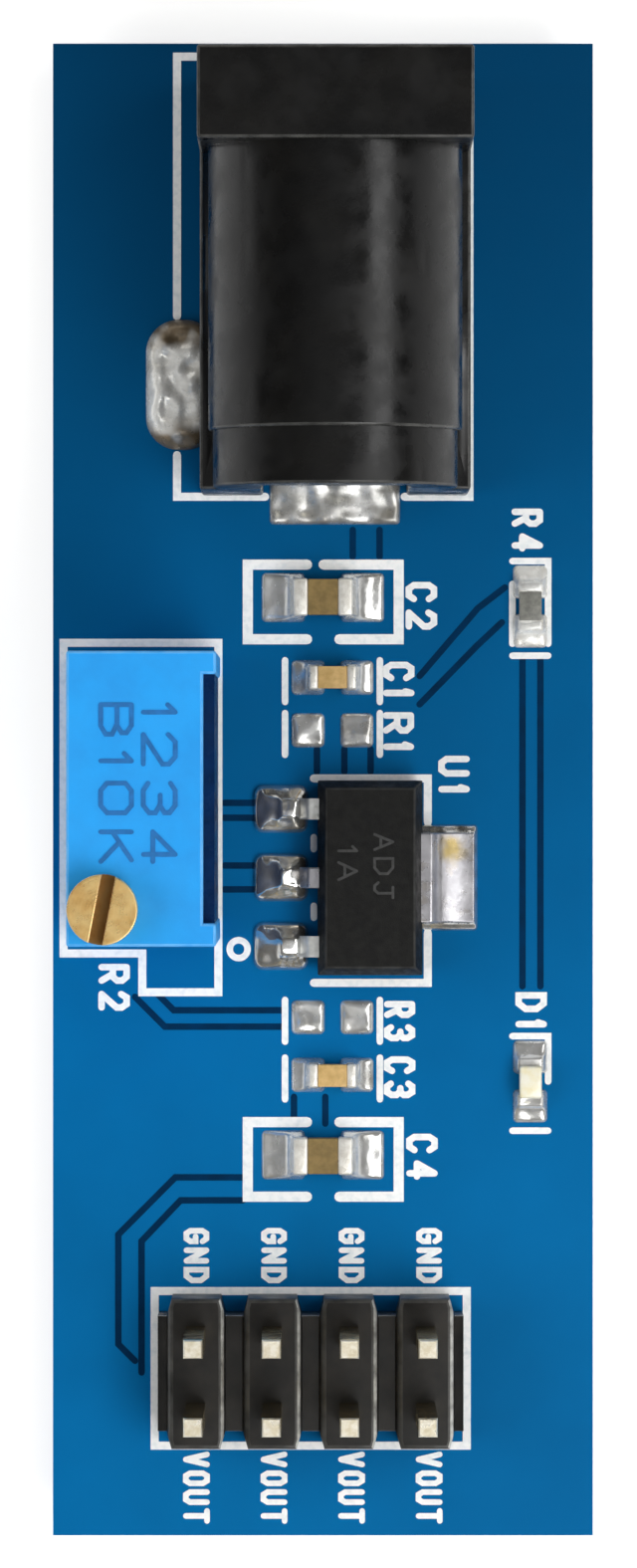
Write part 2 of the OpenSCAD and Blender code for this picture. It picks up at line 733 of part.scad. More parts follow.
module trimmer_pin(index) {
    color("#cfcfca") at_trimmer_pin(index) cylinder(r = trim_pin_r, h = top_z + pin_in_case);
}

module trimmer_pin_1() trimmer_pin(1);
module trimmer_pin_2() trimmer_pin(2);
module trimmer_pin_3() trimmer_pin(3);

// Moulded outline from the side: drafted above and below the parting line
module drafted_profile(width) {
    half = width / 2;
    polygon([
        [-half + reg_draft / 2, reg_lift], [half - reg_draft / 2, reg_lift],
        [half, lead_level], [half - reg_draft, reg_h],
        [-half + reg_draft, reg_h], [-half, lead_level]
    ]);
}

module lead_strip(width) {
    along_y(width) strip_profile(lead_path, lead_t);
}

module regulator_body() {
    color("#2b2b2b") difference() {
        at_regulator() intersection() {
            along_y(reg_l) drafted_profile(reg_w);
            along_x(reg_w) drafted_profile(reg_l);
        }
        regulator_input_lead();
        regulator_adjust_lead();
        regulator_tab();
    }
}

module outer_lead(side) {
    color("#c9c9c6") at_regulator() translate([0, side * lead_pitch, 0])
        mirror([1, 0, 0]) lead_strip(lead_w);
}

module regulator_input_lead() outer_lead(1);
module regulator_adjust_lead() outer_lead(-1);

// The tab, the plate under the chip and the middle lead are one stamping
module regulator_tab() {
    plate_l = reg_w - 2 * lead_in_body;
    color("#c9c9c6") at_regulator() {
        lead_strip(tab_w);
        translate([-plate_l / 2, -tab_w / 2, lead_level - lead_t / 2]) cube([plate_l, tab_w, lead_t]);
        mirror([1, 0, 0]) lead_strip(lead_w);
    }
}

// Middle block of a chip part; size is its length, width, height and metal end
module chip_middle(size) {
    length = size[0] - 2 * size[3];
    translate([-length / 2, -size[1] / 2 + end_proud, land_z + end_proud])
        cube([length, size[1] - 2 * end_proud, size[2] - 2 * end_proud]);
}

module chip_ends(size) {
    for (side = [0, 1])
        mirror([side, 0, 0]) translate([size[0] / 2 - size[3], -size[1] / 2, land_z])
            cube([size[3], size[1], size[2]]);
}

// Tinned lands of a chip part, with solder that rises to its ends
module chip_solder(length, width, land, rise) {
    for (side = [0, 1])
        mirror([side, 0, 0]) {
            translate([land[0], -land[2] / 2, top_z]) cube([land[1] - land[0], land[2], land_t]);
            translate([length / 2, 0, land_z]) along_y(width) fillet_profile(rise);
        }
}

module at_small(y) {
    translate([small_row_x, y, 0]) children();
}

module at_large(y) {
    translate([large_row_x, y, 0]) children();
}

small_land = [small_land_in, small_land_out, small_land_w];
large_land = [large_land_in, large_land_out, large_land_w];

module capacitor_1_middle() color("#b08a5a") at_small(cap_1_y) chip_middle(cap_small);
module capacitor_1_ends() color("#d8d4c8") at_small(cap_1_y) chip_ends(cap_small);
module capacitor_2_middle() color("#8f7440") at_large(cap_2_y) chip_middle(cap_large);
module capacitor_2_ends() color("#d8d4c8") at_large(cap_2_y) chip_ends(cap_large);
module capacitor_3_middle() color("#b08a5a") at_small(cap_3_y) chip_middle(cap_small);
module capacitor_3_ends() color("#d8d4c8") at_small(cap_3_y) chip_ends(cap_small);
module capacitor_4_middle() color("#8f7440") at_large(cap_4_y) chip_middle(cap_large);
module capacitor_4_ends() color("#d8d4c8") at_large(cap_4_y) chip_ends(cap_large);

module resistor_middle() {
    color("#e4e2da") at_edge_part(res_y) chip_middle([small_l, small_w, res_h, small_end]);
}

module resistor_glaze() {
    length = small_l - 2 * small_end;
    color("#3a3a3a") at_edge_part(res_y)
        translate([-length / 2, -small_w / 2 + end_proud, land_z + res_h - end_proud])
            cube([length, small_w - 2 * end_proud, glaze_t]);
}

module resistor_ends() {
    color("#cfcfca") at_edge_part(res_y) chip_ends([small_l, small_w, res_h, small_end]);
}

module lamp_base() {
    color("#e9e6d2") at_edge_part(lamp_y) chip_middle([small_l, small_w, lamp_base_t, lamp_end]);
}

// Clear block with sloping ends on the lamp's base
module lamp_lens() {
    foot = small_l / 2 - lamp_end;
    top = foot - lens_slope;
    color("#f4e7b0") at_edge_part(lamp_y)
        translate([0, 0, land_z + lamp_base_t - end_proud]) along_y(small_w - 2 * end_proud)
            polygon([[-foot, 0], [foot, 0], [top, lens_h], [-top, lens_h]]);
}

module lamp_ends() {
    color("#d8c890") at_edge_part(lamp_y) chip_ends([small_l, small_w, lamp_base_t, lamp_end]);
}

// One segment of the header's body, with its corners cut off
module header_segment() {
    x = pin_pitch / 2;
    y = header_w / 2;
    polygon([
        [-x, -y + segment_cut_y], [-x + web_half_w, -y + segment_cut_y],
        [-x + segment_cut_x, -y], [x - segment_cut_x, -y],
        [x - web_half_w, -y + segment_cut_y], [x, -y + segment_cut_y],
        [x, y - segment_cut_y], [x - web_half_w, y - segment_cut_y],
        [x - segment_cut_x, y], [-x + segment_cut_x, y],
        [-x + web_half_w, y - segment_cut_y], [-x, y - segment_cut_y]
    ]);
}

module header_body() {
    color("#1e1e1e") difference() {
        translate([header_x, header_y, top_z]) difference() {
            linear_extrude(header_h)
                for (column = [0 : header_cols - 1])
                    translate([(column - (header_cols - 1) / 2) * pin_pitch, 0]) header_segment();
            for (joint = [0 : header_cols])
                translate([(joint - header_cols / 2) * pin_pitch, 0, header_h]) along_y(header_w + past)
                    polygon([
                        [-groove_half_w, past], [-groove_half_w, 0], [-groove_floor_half_w, -groove_d],
                        [groove_floor_half_w, -groove_d], [groove_half_w, 0], [groove_half_w, past]
                    ]);
        }
        for (index = [1 : 2 * header_cols])
            at_header_pin(index) translate([-pin_w / 2, -pin_w / 2, 0])
                cube([pin_w, pin_w, top_z + pin_top_h]);
    }
}

// Square pin with all four sides tapered at both tips
module header_pin(index) {
    half = pin_w / 2;
    tip = half * pin_tip_share;
    length = top_z + pin_top_h;
    module side_view() {
        polygon([
            [-tip, 0], [tip, 0], [half, pin_taper_l], [half, length - pin_taper_l],
            [tip, length], [-tip, length], [-half, length - pin_taper_l], [-half, pin_taper_l]
        ]);
    }
    color("#d9c07a") at_header_pin(index) intersection() {
        along_y(pin_w) side_view();
        along_x(pin_w) side_view();
    }
}

module header_pin_1() header_pin(1);
module header_pin_2() header_pin(2);
module header_pin_3() header_pin(3);
module header_pin_4() header_pin(4);
module header_pin_5() header_pin(5);
module header_pin_6() header_pin(6);
module header_pin_7() header_pin(7);
module header_pin_8() header_pin(8);

// Solder that fills a round hole and runs down the leg to a point
module pin_joint(leg_r) {
    cylinder(r = pin_hole_r, h = board_t);
    mirror([0, 0, 1]) rotate_extrude() difference() {
        square([round_land_r, cone_h]);
        translate([leg_r + cone_h, cone_h]) circle(cone_h, $fn = 96);
    }
}

module solder_header() {
    color("#c4c6c6") for (index = [1 : 2 * header_cols])
        at_header_pin(index) difference() {
            translate([0, 0, under_z]) pin_joint(pin_w / 2 + pin_solder_t);
            translate([-pin_w / 2, -pin_w / 2, -past]) cube([pin_w, pin_w, top_z + 2 * past]);
        }
}

module solder_trimmer() {
    color("#c4c6c6") for (index = [1 : 3])
        at_trimmer_pin(index) difference() {
            translate([0, 0, under_z]) pin_joint(trim_pin_r + leg_solder_t);
            translate([0, 0, -past]) cylinder(r = trim_pin_r, h = top_z + 2 * past);
        }
}

// Solder in each slot with a mound under the board, and on top at the two open legs
module solder_jack() {
    rear_land_w = oval_l;
    color("#c4c6c6") {
        for (index = [1 : 3])
            difference() {
                at_jack_slot(index) {
                    translate([0, 0, under_z]) linear_extrude(board_t) oval(slot_l, slot_w);
                    translate([0, 0, under_z]) mirror([0, 0, 1]) oval_mound(oval_l, oval_w, mound_h);
                    if (index == 1) {
                        translate([-rear_land_w / 2, -rear_land_out, top_z])
                            cube([rear_land_w, rear_land_in + rear_land_out, land_t]);
                        translate([0, -rear_leg_t / 2, land_z]) along_x(leg_w + 2 * rear_fillet_side)
                            mirror([1, 0]) fillet_profile(rear_fillet);
                    }
                    if (index == 3)
                        translate([0, 0, top_z]) linear_extrude(land_t) oval(oval_l, oval_w);
                    if (index == 3) intersection() {
                        translate([0, 0, land_z])
                            oval_mound(oval_l - 2 * mound_in, oval_w - 2 * mound_in, mound_h);
                        translate([-oval_l / 2, -switch_leg_out + contact_gap, top_z])
                            cube([oval_l, oval_w + switch_leg_out, 2 * mound_h]);
                    }
                }
                if (index == 3) jack_switch_terminal();
                else at_jack_slot(index) jack_leg_cut(index);
            }
    }
}

module solder_regulator() {
    lead_x = lead_span / 2 + lead_land_past - lead_land_l;
    color("#c4c6c6") at_regulator() {
        for (lead = [-1 : 1])
            mirror([1, 0, 0]) {
                translate([lead_x, lead * lead_pitch - lead_land_w / 2, 0])
                    cube([lead_land_l, lead_land_w, land_t]);
                translate([lead_span / 2, lead * lead_pitch, land_t])
                    along_y(lead_w) fillet_profile(lead_fillet);
            }
        translate([lead_x, -tab_land_w / 2, 0])
            cube([lead_span / 2 + tab_land_past - lead_x, tab_land_w, land_t]);
    }
}

module solder_capacitors() {
    color("#c4c6c6") {
        at_small(cap_1_y) chip_solder(small_l, small_w, small_land, small_fillet);
        at_large(cap_2_y) chip_solder(large_l, large_w, large_land, large_fillet);
        at_small(cap_3_y) chip_solder(small_l, small_w, small_land, small_fillet);
        at_large(cap_4_y) chip_solder(large_l, large_w, large_land, large_fillet);
    }
}

// Lands with no part on them, each under a low cushion of solder
module solder_spare_lands() {
    land_l = small_land_out - small_land_in;
    half_diagonal = norm([land_l, small_land_w]) / 2;
    dome_r = (half_diagonal * half_diagonal + spare_dome_h * spare_dome_h) / (2 * spare_dome_h);
    color("#c4c6c6") for (y = [spare_1_y, spare_3_y], side = [-1, 1])
        at_small(y) translate([side * (small_land_in + small_land_out) / 2, 0, 0]) {
            translate([-land_l / 2, -small_land_w / 2, top_z]) cube([land_l, small_land_w, land_t]);
            intersection() {
                translate([0, 0, land_z + spare_dome_h - dome_r]) sphere(dome_r, $fn = 96);
                translate([-land_l / 2, -small_land_w / 2, top_z]) cube([land_l, small_land_w, 1]);
            }
        }
}

module solder_resistor() {
    color("#c4c6c6") at_edge_part(res_y) chip_solder(small_l, small_w, small_land, res_h - glaze_t);
}

module solder_lamp() {
    color("#c4c6c6") at_edge_part(lamp_y) chip_solder(small_l, small_w, small_land, lamp_base_t);
}

board();
jack_housing();
jack_centre_pin();
jack_rear_terminal();
jack_sleeve_spring();
jack_switch_terminal();
trimmer_case();
trimmer_potting();
trimmer_screw();
trimmer_seal_ring();
trimmer_worm_wheel();
trimmer_wiper();
trimmer_element();
trimmer_pin_1();
trimmer_pin_2();
trimmer_pin_3();
regulator_body();
regulator_input_lead();
regulator_adjust_lead();
regulator_tab();
capacitor_1_middle();
capacitor_1_ends();
capacitor_2_middle();
capacitor_2_ends();
capacitor_3_middle();
capacitor_3_ends();
capacitor_4_middle();
capacitor_4_ends();
resistor_middle();
resistor_glaze();
resistor_ends();
lamp_base();
lamp_lens();
lamp_ends();
header_body();
header_pin_1();
header_pin_2();
header_pin_3();
header_pin_4();
header_pin_5();
header_pin_6();
header_pin_7();
header_pin_8();
solder_jack();
solder_trimmer();
solder_regulator();
solder_capacitors();
solder_spare_lands();
solder_resistor();
solder_lamp();
solder_header();
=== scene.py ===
"""Looks of an adjustable voltage regulator module.

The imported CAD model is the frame. Each class below dresses one sub-assembly of it:
some pieces stand for a CAD node with softened edges or flowed solder, and the others
add what is printed on the board and moulded on the parts. Sizes are in millimetres.
"""

import logging
import math
from collections.abc import Callable, Iterable
from dataclasses import dataclass, replace
from enum import Enum
from typing import ClassVar

import bmesh
import bpy
from mathutils import Matrix, Vector, noise


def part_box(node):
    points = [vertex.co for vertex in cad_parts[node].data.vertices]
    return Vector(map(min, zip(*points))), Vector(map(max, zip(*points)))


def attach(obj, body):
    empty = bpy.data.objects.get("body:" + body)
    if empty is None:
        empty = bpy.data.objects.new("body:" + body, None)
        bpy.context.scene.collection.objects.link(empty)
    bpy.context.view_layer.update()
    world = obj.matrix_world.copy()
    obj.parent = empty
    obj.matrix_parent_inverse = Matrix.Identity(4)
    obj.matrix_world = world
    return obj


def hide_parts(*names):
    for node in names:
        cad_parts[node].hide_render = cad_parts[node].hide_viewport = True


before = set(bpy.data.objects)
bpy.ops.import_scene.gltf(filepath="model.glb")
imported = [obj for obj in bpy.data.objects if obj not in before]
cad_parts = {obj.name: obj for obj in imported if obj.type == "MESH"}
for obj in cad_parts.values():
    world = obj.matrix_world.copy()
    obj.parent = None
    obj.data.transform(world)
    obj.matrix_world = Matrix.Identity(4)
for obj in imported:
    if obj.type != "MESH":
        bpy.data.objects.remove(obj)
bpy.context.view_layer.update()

Point = tuple[float, float]
Spot = tuple[float, float, float]
Sides = tuple[float, float, float, float]
Socket = bpy.types.NodeSocket
Tree = bpy.types.NodeTree
Material = bpy.types.Material
Work = bmesh.types.BMesh
Normal = Callable[[Vector, bpy.types.MeshPolygon], Vector | None]
MM = 0.001
EDGE_MASK = "edge_mask"
FILM_AND_SHADE_MASK = "film_and_shade_mask"
EVEN_CUT = (0.35, 0.65)
log = logging.getLogger("module_looks")


class Body(str, Enum):
    """Bodies that carry new pieces."""

    MODULE = "module"
    SCREW = "screw"


class Side(float, Enum):
    """Side of the board that a joint lies on."""

    TOP = 1.0
    UNDER = -1.0


def linear(code: str) -> tuple[float, float, float, float]:
    """Turn a hex colour into linear light.

    Args:
        code: Colour as #rrggbb.

    Returns:
        Red, green, blue and an alpha of 1.
    """
    values = [int(code[i : i + 2], 16) / 255 for i in (1, 3, 5)]
    red, green, blue = (
        v / 12.92 if v <= 0.04045 else ((v + 0.055) / 1.055) ** 2.4 for v in values
    )
    return red, green, blue, 1.0


@dataclass(frozen=True)
class Finish:
    """A surface: two tones in patches, a range of gloss, a grain, worn edges that are partly a
    painted highlight, a film that is flux on solder and painted shade in a screw's slot, and a
    painted darkening towards one end.
    """

    name: str
    slot: str
    tone: str
    second: str
    patch: float = 1.5
    spread: Point = EVEN_CUT
    rough: Point = (0.35, 0.5)
    rough_patch: float = 0.8
    metallic: float = 0.0
    grain: float = 0.12
    grain_cut: Point = (0.2, 0.8)
    grain_depth: float = 0.004
    streak: Spot | None = None
    wear_and_sheen: str | None = None
    wear_and_sheen_share: float = 0.6
    film: str | None = None
    film_rough: float = 0.12
    coat: float = 0.0
    coat_rough: float = 0.1
    specular: float = 0.5
    through: float = 0.0
    turned_at: Point | None = None
    ring_pitch: float = 0.11
    ring_waver: float = 1.5
    core: tuple[str, str] | None = None
    core_skin: float = 0.045
    core_layer: float = 0.12
    core_run: Spot = (0.15, 0.15, 1.0)
    far: str | None = None
    painted_falloff_from: float = 17.0
    stain: str | None = None
    stain_at: Spot = (0.0, 0.0, 0.0)
    stain_r: float = 0.7
    stain_mix: Point = (0.7, 0.3)
    stain_cut: Point = (0.35, 0.8)
    stain_depth: float = 0.85


class Finishes:
    """Every finish of the module."""

    # The far tone is painted shade: the lacquer darkens towards the jack's end of the board,
    # standing in for less light there.
    LACQUER = Finish(
        "blue_lacquer", "board", "#036ba7", "#02639c", patch=9.0, rough=(0.36, 0.48), grain=0.5,
        grain_depth=0.003, specular=0.04, core=("#a89a5e", "#7d7648"), far="#01426b",
    )
    TRENCH = Finish(
        "lacquer_over_bare_board", "board", "#012f54", "#012848", patch=0.8, specular=0.04,
    )
    PRINT = Finish(
        "white_print", "board", "#fafbfa", "#e4eaec", patch=0.25, spread=(0.45, 0.75),
        rough=(0.55, 0.7), grain=0.08, specular=0.1,
    )
    # Its grey edge tone is partly wear and partly a painted highlight along the rounded edges.
    JACK = Finish(
        "jack_moulding", "black_moulding", "#060606", "#12110f", patch=2.2, spread=(0.42, 0.75),
        rough=(0.17, 0.42), rough_patch=1.3, grain_depth=0.0016, specular=0.4, wear_and_sheen="#787874",
        wear_and_sheen_share=0.34,
    )
    # Its pale edge tone is a painted highlight on the roundings that face the lamps, with a trace
    # of wear on the others.
    HEADER = Finish(
        "header_moulding", "black_moulding", "#0e0e0d", "#211f1c", patch=0.9, rough=(0.3, 0.42),
        rough_patch=0.4, grain=0.06, grain_depth=0.0015, specular=0.35, wear_and_sheen="#dcdcd6",
        wear_and_sheen_share=0.95,
    )
    TRIMMER = Finish(
        "trimmer_moulding", "blue_moulding", "#26a4f5", "#229bec", patch=1.6, rough=(0.36, 0.5),
        grain=0.09, grain_depth=0.003, specular=0.35, wear_and_sheen="#8ccdfa", wear_and_sheen_share=0.5,
    )
    # The marks' darker blue is painted shade that makes the moulded letters read as engraved.
    TRIMMER_MARK = Finish(
        "trimmer_mark", "blue_moulding", "#1a72ba", "#1464a6", patch=0.3, rough=(0.4, 0.55),
    )
    # Its dark navy is partly the potting's own colour and partly painted shade of the trimmer's
    # side recess.
    POTTING = Finish(
        "dark_potting", "potting", "#042448", "#072c56", patch=0.7, rough=(0.2, 0.4), grain=0.4,
        grain_depth=0.012, specular=0.1,
    )
    # Its film tone is painted shade, laid on the floor of the screw's slot.
    BRASS = Finish(
        "turned_brass", "screw_brass", "#ffdb94", "#ecbe74", patch=0.5, rough=(0.24, 0.4),
        rough_patch=0.3, metallic=0.8, grain_depth=0.0008, wear_and_sheen="#f0d09a", wear_and_sheen_share=0.8,
        film="#5e3c12",
    )
    RUBBER = Finish(
        "seal_rubber", "seal_rubber", "#1a1a1a", "#262626", patch=0.3, rough=(0.6, 0.8),
    )
    NYLON = Finish(
        "wheel_nylon", "wheel_plastic", "#e8e4d8", "#dcd6c4", patch=0.6, rough=(0.4, 0.6),
    )
    SPRING = Finish(
        "wiper_spring", "pin_gold", "#d8b060", "#c49a4c", patch=0.4, rough=(0.25, 0.4),
        metallic=1.0,
    )
    CERAMIC = Finish(
        "white_ceramic", "white_ceramic", "#efece2", "#dcd8cc", patch=0.2, rough=(0.5, 0.7),
        grain=0.05,
    )
    TAN = Finish(
        "tan_ceramic", "tan_ceramic", "#d6b274", "#c09c5c", patch=0.22, rough=(0.42, 0.6),
        grain=0.05,
    )
    OLIVE = Finish(
        "olive_ceramic", "olive_ceramic", "#8c7442", "#786234", patch=0.24, rough=(0.42, 0.6),
        grain=0.05,
    )
    CHIP = Finish(
        "chip_moulding", "chip_moulding", "#161615", "#1e1e1c", patch=0.3, rough=(0.45, 0.62),
        rough_patch=0.25, grain=0.05, grain_depth=0.007, specular=0.16, wear_and_sheen="#555553",
        wear_and_sheen_share=0.5,
    )
    CHIP_MARK = Finish(
        "chip_mark", "chip_moulding", "#484846", "#363635", patch=0.15, rough=(0.6, 0.75),
    )
    PLATED = Finish(
        "plated_contact", "plated_contact", "#cfcbbd", "#b9b4a4", patch=0.6, rough=(0.18, 0.32),
        metallic=1.0, grain=0.1, grain_depth=0.003, streak=(1.0, 0.2, 1.0),
    )
    TINNED = Finish(
        "tinned_lead", "tinned_leg", "#e8e8e4", "#ccccc6", patch=0.35, rough=(0.24, 0.4),
        metallic=0.45, grain_depth=0.006, wear_and_sheen="#f4f4f2",
    )
    TAB = Finish(
        "stained_tab", "tinned_leg", "#c8c7ca", "#a6a4a8", patch=0.8, rough=(0.22, 0.4),
        rough_patch=0.6, metallic=0.7, grain=0.2, grain_depth=0.005, stain="#9a8440",
    )
    CHIP_END = Finish(
        "tinned_chip_end", "chip_end", "#f6f3ea", "#d8d3c8", patch=0.3, rough=(0.26, 0.44),
        metallic=0.42, grain=0.08, grain_depth=0.008, wear_and_sheen="#fbf8f0",
    )
    GOLD = Finish(
        "gilt_pin", "pin_gold", "#d8c48c", "#c4ac70", patch=0.4, rough=(0.14, 0.24),
        metallic=1.0, grain=0.06, grain_depth=0.002, streak=(1.0, 1.0, 0.15),
    )
    PIN_TIP = Finish(
        "cut_pin_tip", "pin_gold", "#efe9d8", "#d8cdb0", patch=0.2, rough=(0.25, 0.4),
        metallic=0.5, grain=0.08,
    )
    GLAZE = Finish(
        "resistor_glaze", "glaze", "#8a8a82", "#6c6c66", patch=0.25, rough=(0.22, 0.4),
        grain=0.15, grain_depth=0.008, coat=0.2,
    )
    LAMP_WHITE = Finish(
        "lamp_base", "lamp_white", "#efe9d2", "#ddd2ac", patch=0.25, rough=(0.45, 0.6),
    )
    LENS = Finish(
        "lamp_lens", "lamp_lens", "#fffbe8", "#f9ecb8", patch=0.55, spread=(0.42, 0.7),
        rough=(0.12, 0.25), grain=0.2, grain_depth=0.006, through=0.1, coat=0.3,
    )
    SOLDER = Finish(
        "flowed_solder", "solder", "#f0f0ee", "#d8d8d4", patch=0.4, rough=(0.12, 0.28),
        rough_patch=0.35, metallic=0.68, grain=0.35, grain_depth=0.008, film="#6e5a34",
    )
    DULL = replace(
        SOLDER, name="dull_solder", tone="#dededc", second="#a8a8a4", patch=0.9, rough=(0.2, 0.4),
    )
    BRIGHT = replace(
        SOLDER, name="bright_solder", tone="#f6f6f4", second="#dededa", rough=(0.07, 0.2),
        metallic=0.88, grain=0.4, grain_depth=0.006, film="#8a7440",
    )
    FLUXED = replace(
        SOLDER, name="fluxed_solder", tone="#fffef8", second="#d6d2c6", patch=1.1,
        spread=(0.5, 0.7), rough=(0.16, 0.32), metallic=0.3, grain=0.5, grain_depth=0.03,
        film="#6a5226",
    )


class Wiring:
    """Adds and links the nodes of one shader tree."""

    cloud_rough: float = 0.55

    def __init__(self, tree: Tree) -> None:
        """Keep the tree that is wired."""
        self.tree = tree

    def add(self, kind: str, inputs: dict | None = None, **settings: object) -> bpy.types.Node:
        """Add a node.

        Args:
            kind: Blender's name of the node type.
            inputs: Values or output sockets by input name or index.
            settings: Properties of the node.

        Returns:
            The new node.
        """
        node = self.tree.nodes.new(kind)
        for key, value in settings.items():
            setattr(node, key, value)
        for key, value in (inputs or {}).items():
            self.feed(value, node.inputs[key])
        return node

    def feed(self, value: object, into: Socket) -> None:
        """Link an output socket to an input, or set the input's value.

        Args:
            value: The socket or the value.
            into: The input.
        """
        if isinstance(value, Socket):
            self.tree.links.new(value, into)
        else:
            into.default_value = value

    def mix(self, share: object, first: object, second: object) -> Socket:
        """Mix two colours by a share and give the result's socket."""
        node = self.add("ShaderNodeMix", {0: share, 6: first, 7: second}, data_type="RGBA")
        return node.outputs[2]

    def math(self, rule: str, first: object, second: object) -> Socket:
        """Combine two values by a rule of the Math node and give the result's socket."""
        return self.add("ShaderNodeMath", {0: first, 1: second}, operation=rule).outputs[0]

    def ramp(self, value: object, source: Point, target: Point = (0.0, 1.0)) -> Socket:
        """Map a value from one range to another, clamped, and give the result's socket."""
        inputs = dict(enumerate((value, *source, *target)))
        return self.add("ShaderNodeMapRange", inputs, clamp=True).outputs[0]

    def vector(self, rule: str, first: object, second: object = (0.0, 0.0, 0.0)) -> bpy.types.Node:
        """Combine two vectors by a rule of the Vector Math node and give the node."""
        return self.add("ShaderNodeVectorMath", {0: first, 1: second}, operation=rule)

    def axis(self, vector: Socket, index: int) -> Socket:
        """Give the socket of one coordinate of a vector."""
        return self.add("ShaderNodeSeparateXYZ", {0: vector}).outputs[index]

    def cloud(self, vector: Socket, size: Socket, detail: float) -> Socket:
        """Add noise whose features have a size in millimetres and give its socket."""
        inputs = {"Vector": vector, "Scale": self.math("DIVIDE", 1 / MM, size), "Detail": detail}
        return self.add("ShaderNodeTexNoise", {**inputs, "Roughness": self.cloud_rough}).outputs[0]

    def effect(self, group: Tree, values: dict) -> Socket:
        """Place a shared effect in the tree and give its mask."""
        return self.add("ShaderNodeGroup", values, node_tree=group).outputs["Mask"]


class Effects:
    """Shader node groups that several finishes share."""

    patch_detail: float = 4.0
    streak_detail: float = 2.0
    edge_wear_and_sheen_detail: float = 3.0
    edge_wear_and_sheen_cut: Point = (0.3, 0.7)
    edge_wear_and_sheen_range: Point = (0.25, 1.0)
    along: tuple[str, ...] = ("Along X", "Along Y", "Along Z")

    def __init__(self) -> None:
        """Build the groups once."""
        self.patches = self._patches()
        self.streaks = self._streaks()
        self.edge_wear_and_sheen = self._edge_wear_and_sheen()

    def _start(self, name: str, values: dict[str, float]) -> tuple[Wiring, dict[str, Socket]]:
        """Start a group with a Vector input, value inputs and a Mask output.

        Args:
            name: Name of the group.
            values: Value inputs with their defaults.

        Returns:
            The wiring, and the group's input sockets by name.
        """
        group = bpy.data.node_groups.new(name, "ShaderNodeTree")
        new_socket = group.interface.new_socket
        new_socket(name="Vector", in_out="INPUT", socket_type="NodeSocketVector")
        for label, default in values.items():
            socket = new_socket(name=label, in_out="INPUT", socket_type="NodeSocketFloat")
            socket.default_value = default
        new_socket(name="Mask", in_out="OUTPUT", socket_type="NodeSocketFloat")
        wires = Wiring(group)
        return wires, {socket.name: socket for socket in wires.add("NodeGroupInput").outputs}

    def _close(self, wires: Wiring, mask: Socket) -> Tree:
        """Send a mask to the group's output and give the group."""
        wires.add("NodeGroupOutput", {"Mask": mask})
        return wires.tree

    def _patches(self) -> Tree:
        """Build soft patches of a given size, cut between a low and a high level.

        Returns:
            The group.
        """
        low, high = EVEN_CUT
        wires, entry = self._start("patches", {"Size": 1.0, "Low": low, "High": high})
        cloud = wires.cloud(entry["Vector"], entry["Size"], self.patch_detail)
        return self._close(wires, wires.ramp(cloud, (entry["Low"], entry["High"])))

    def _streaks(self) -> Tree:
        """Build fine lines drawn out along one direction of the piece.

        Returns:
            The group.
        """
        wires, entry = self._start("streaks", {"Size": 0.1, **dict.fromkeys(self.along, 1.0)})
        shares = dict(enumerate(entry[label] for label in self.along))
        stretch = wires.add("ShaderNodeCombineXYZ", shares).outputs[0]
        drawn = wires.vector("MULTIPLY", entry["Vector"], stretch).outputs[0]
        return self._close(wires, wires.cloud(drawn, entry["Size"], self.streak_detail))

    def _edge_wear_and_sheen(self) -> Tree:
        """Build broken wear along edges that carry a mask of their own; on some finishes the same
        pale tone is a painted highlight.

        Returns:
            The group.
        """
        wires, entry = self._start("edge_wear_and_sheen", {"Edge": 0.0, "Size": 0.6, "Share": 0.6})
        cloud = wires.cloud(entry["Vector"], entry["Size"], self.edge_wear_and_sheen_detail)
        broken = wires.ramp(cloud, self.edge_wear_and_sheen_cut, self.edge_wear_and_sheen_range)
        wear_and_sheen = wires.math("MULTIPLY", entry["Edge"], broken)
        return self._close(wires, wires.math("MULTIPLY", wear_and_sheen, entry["Share"]))


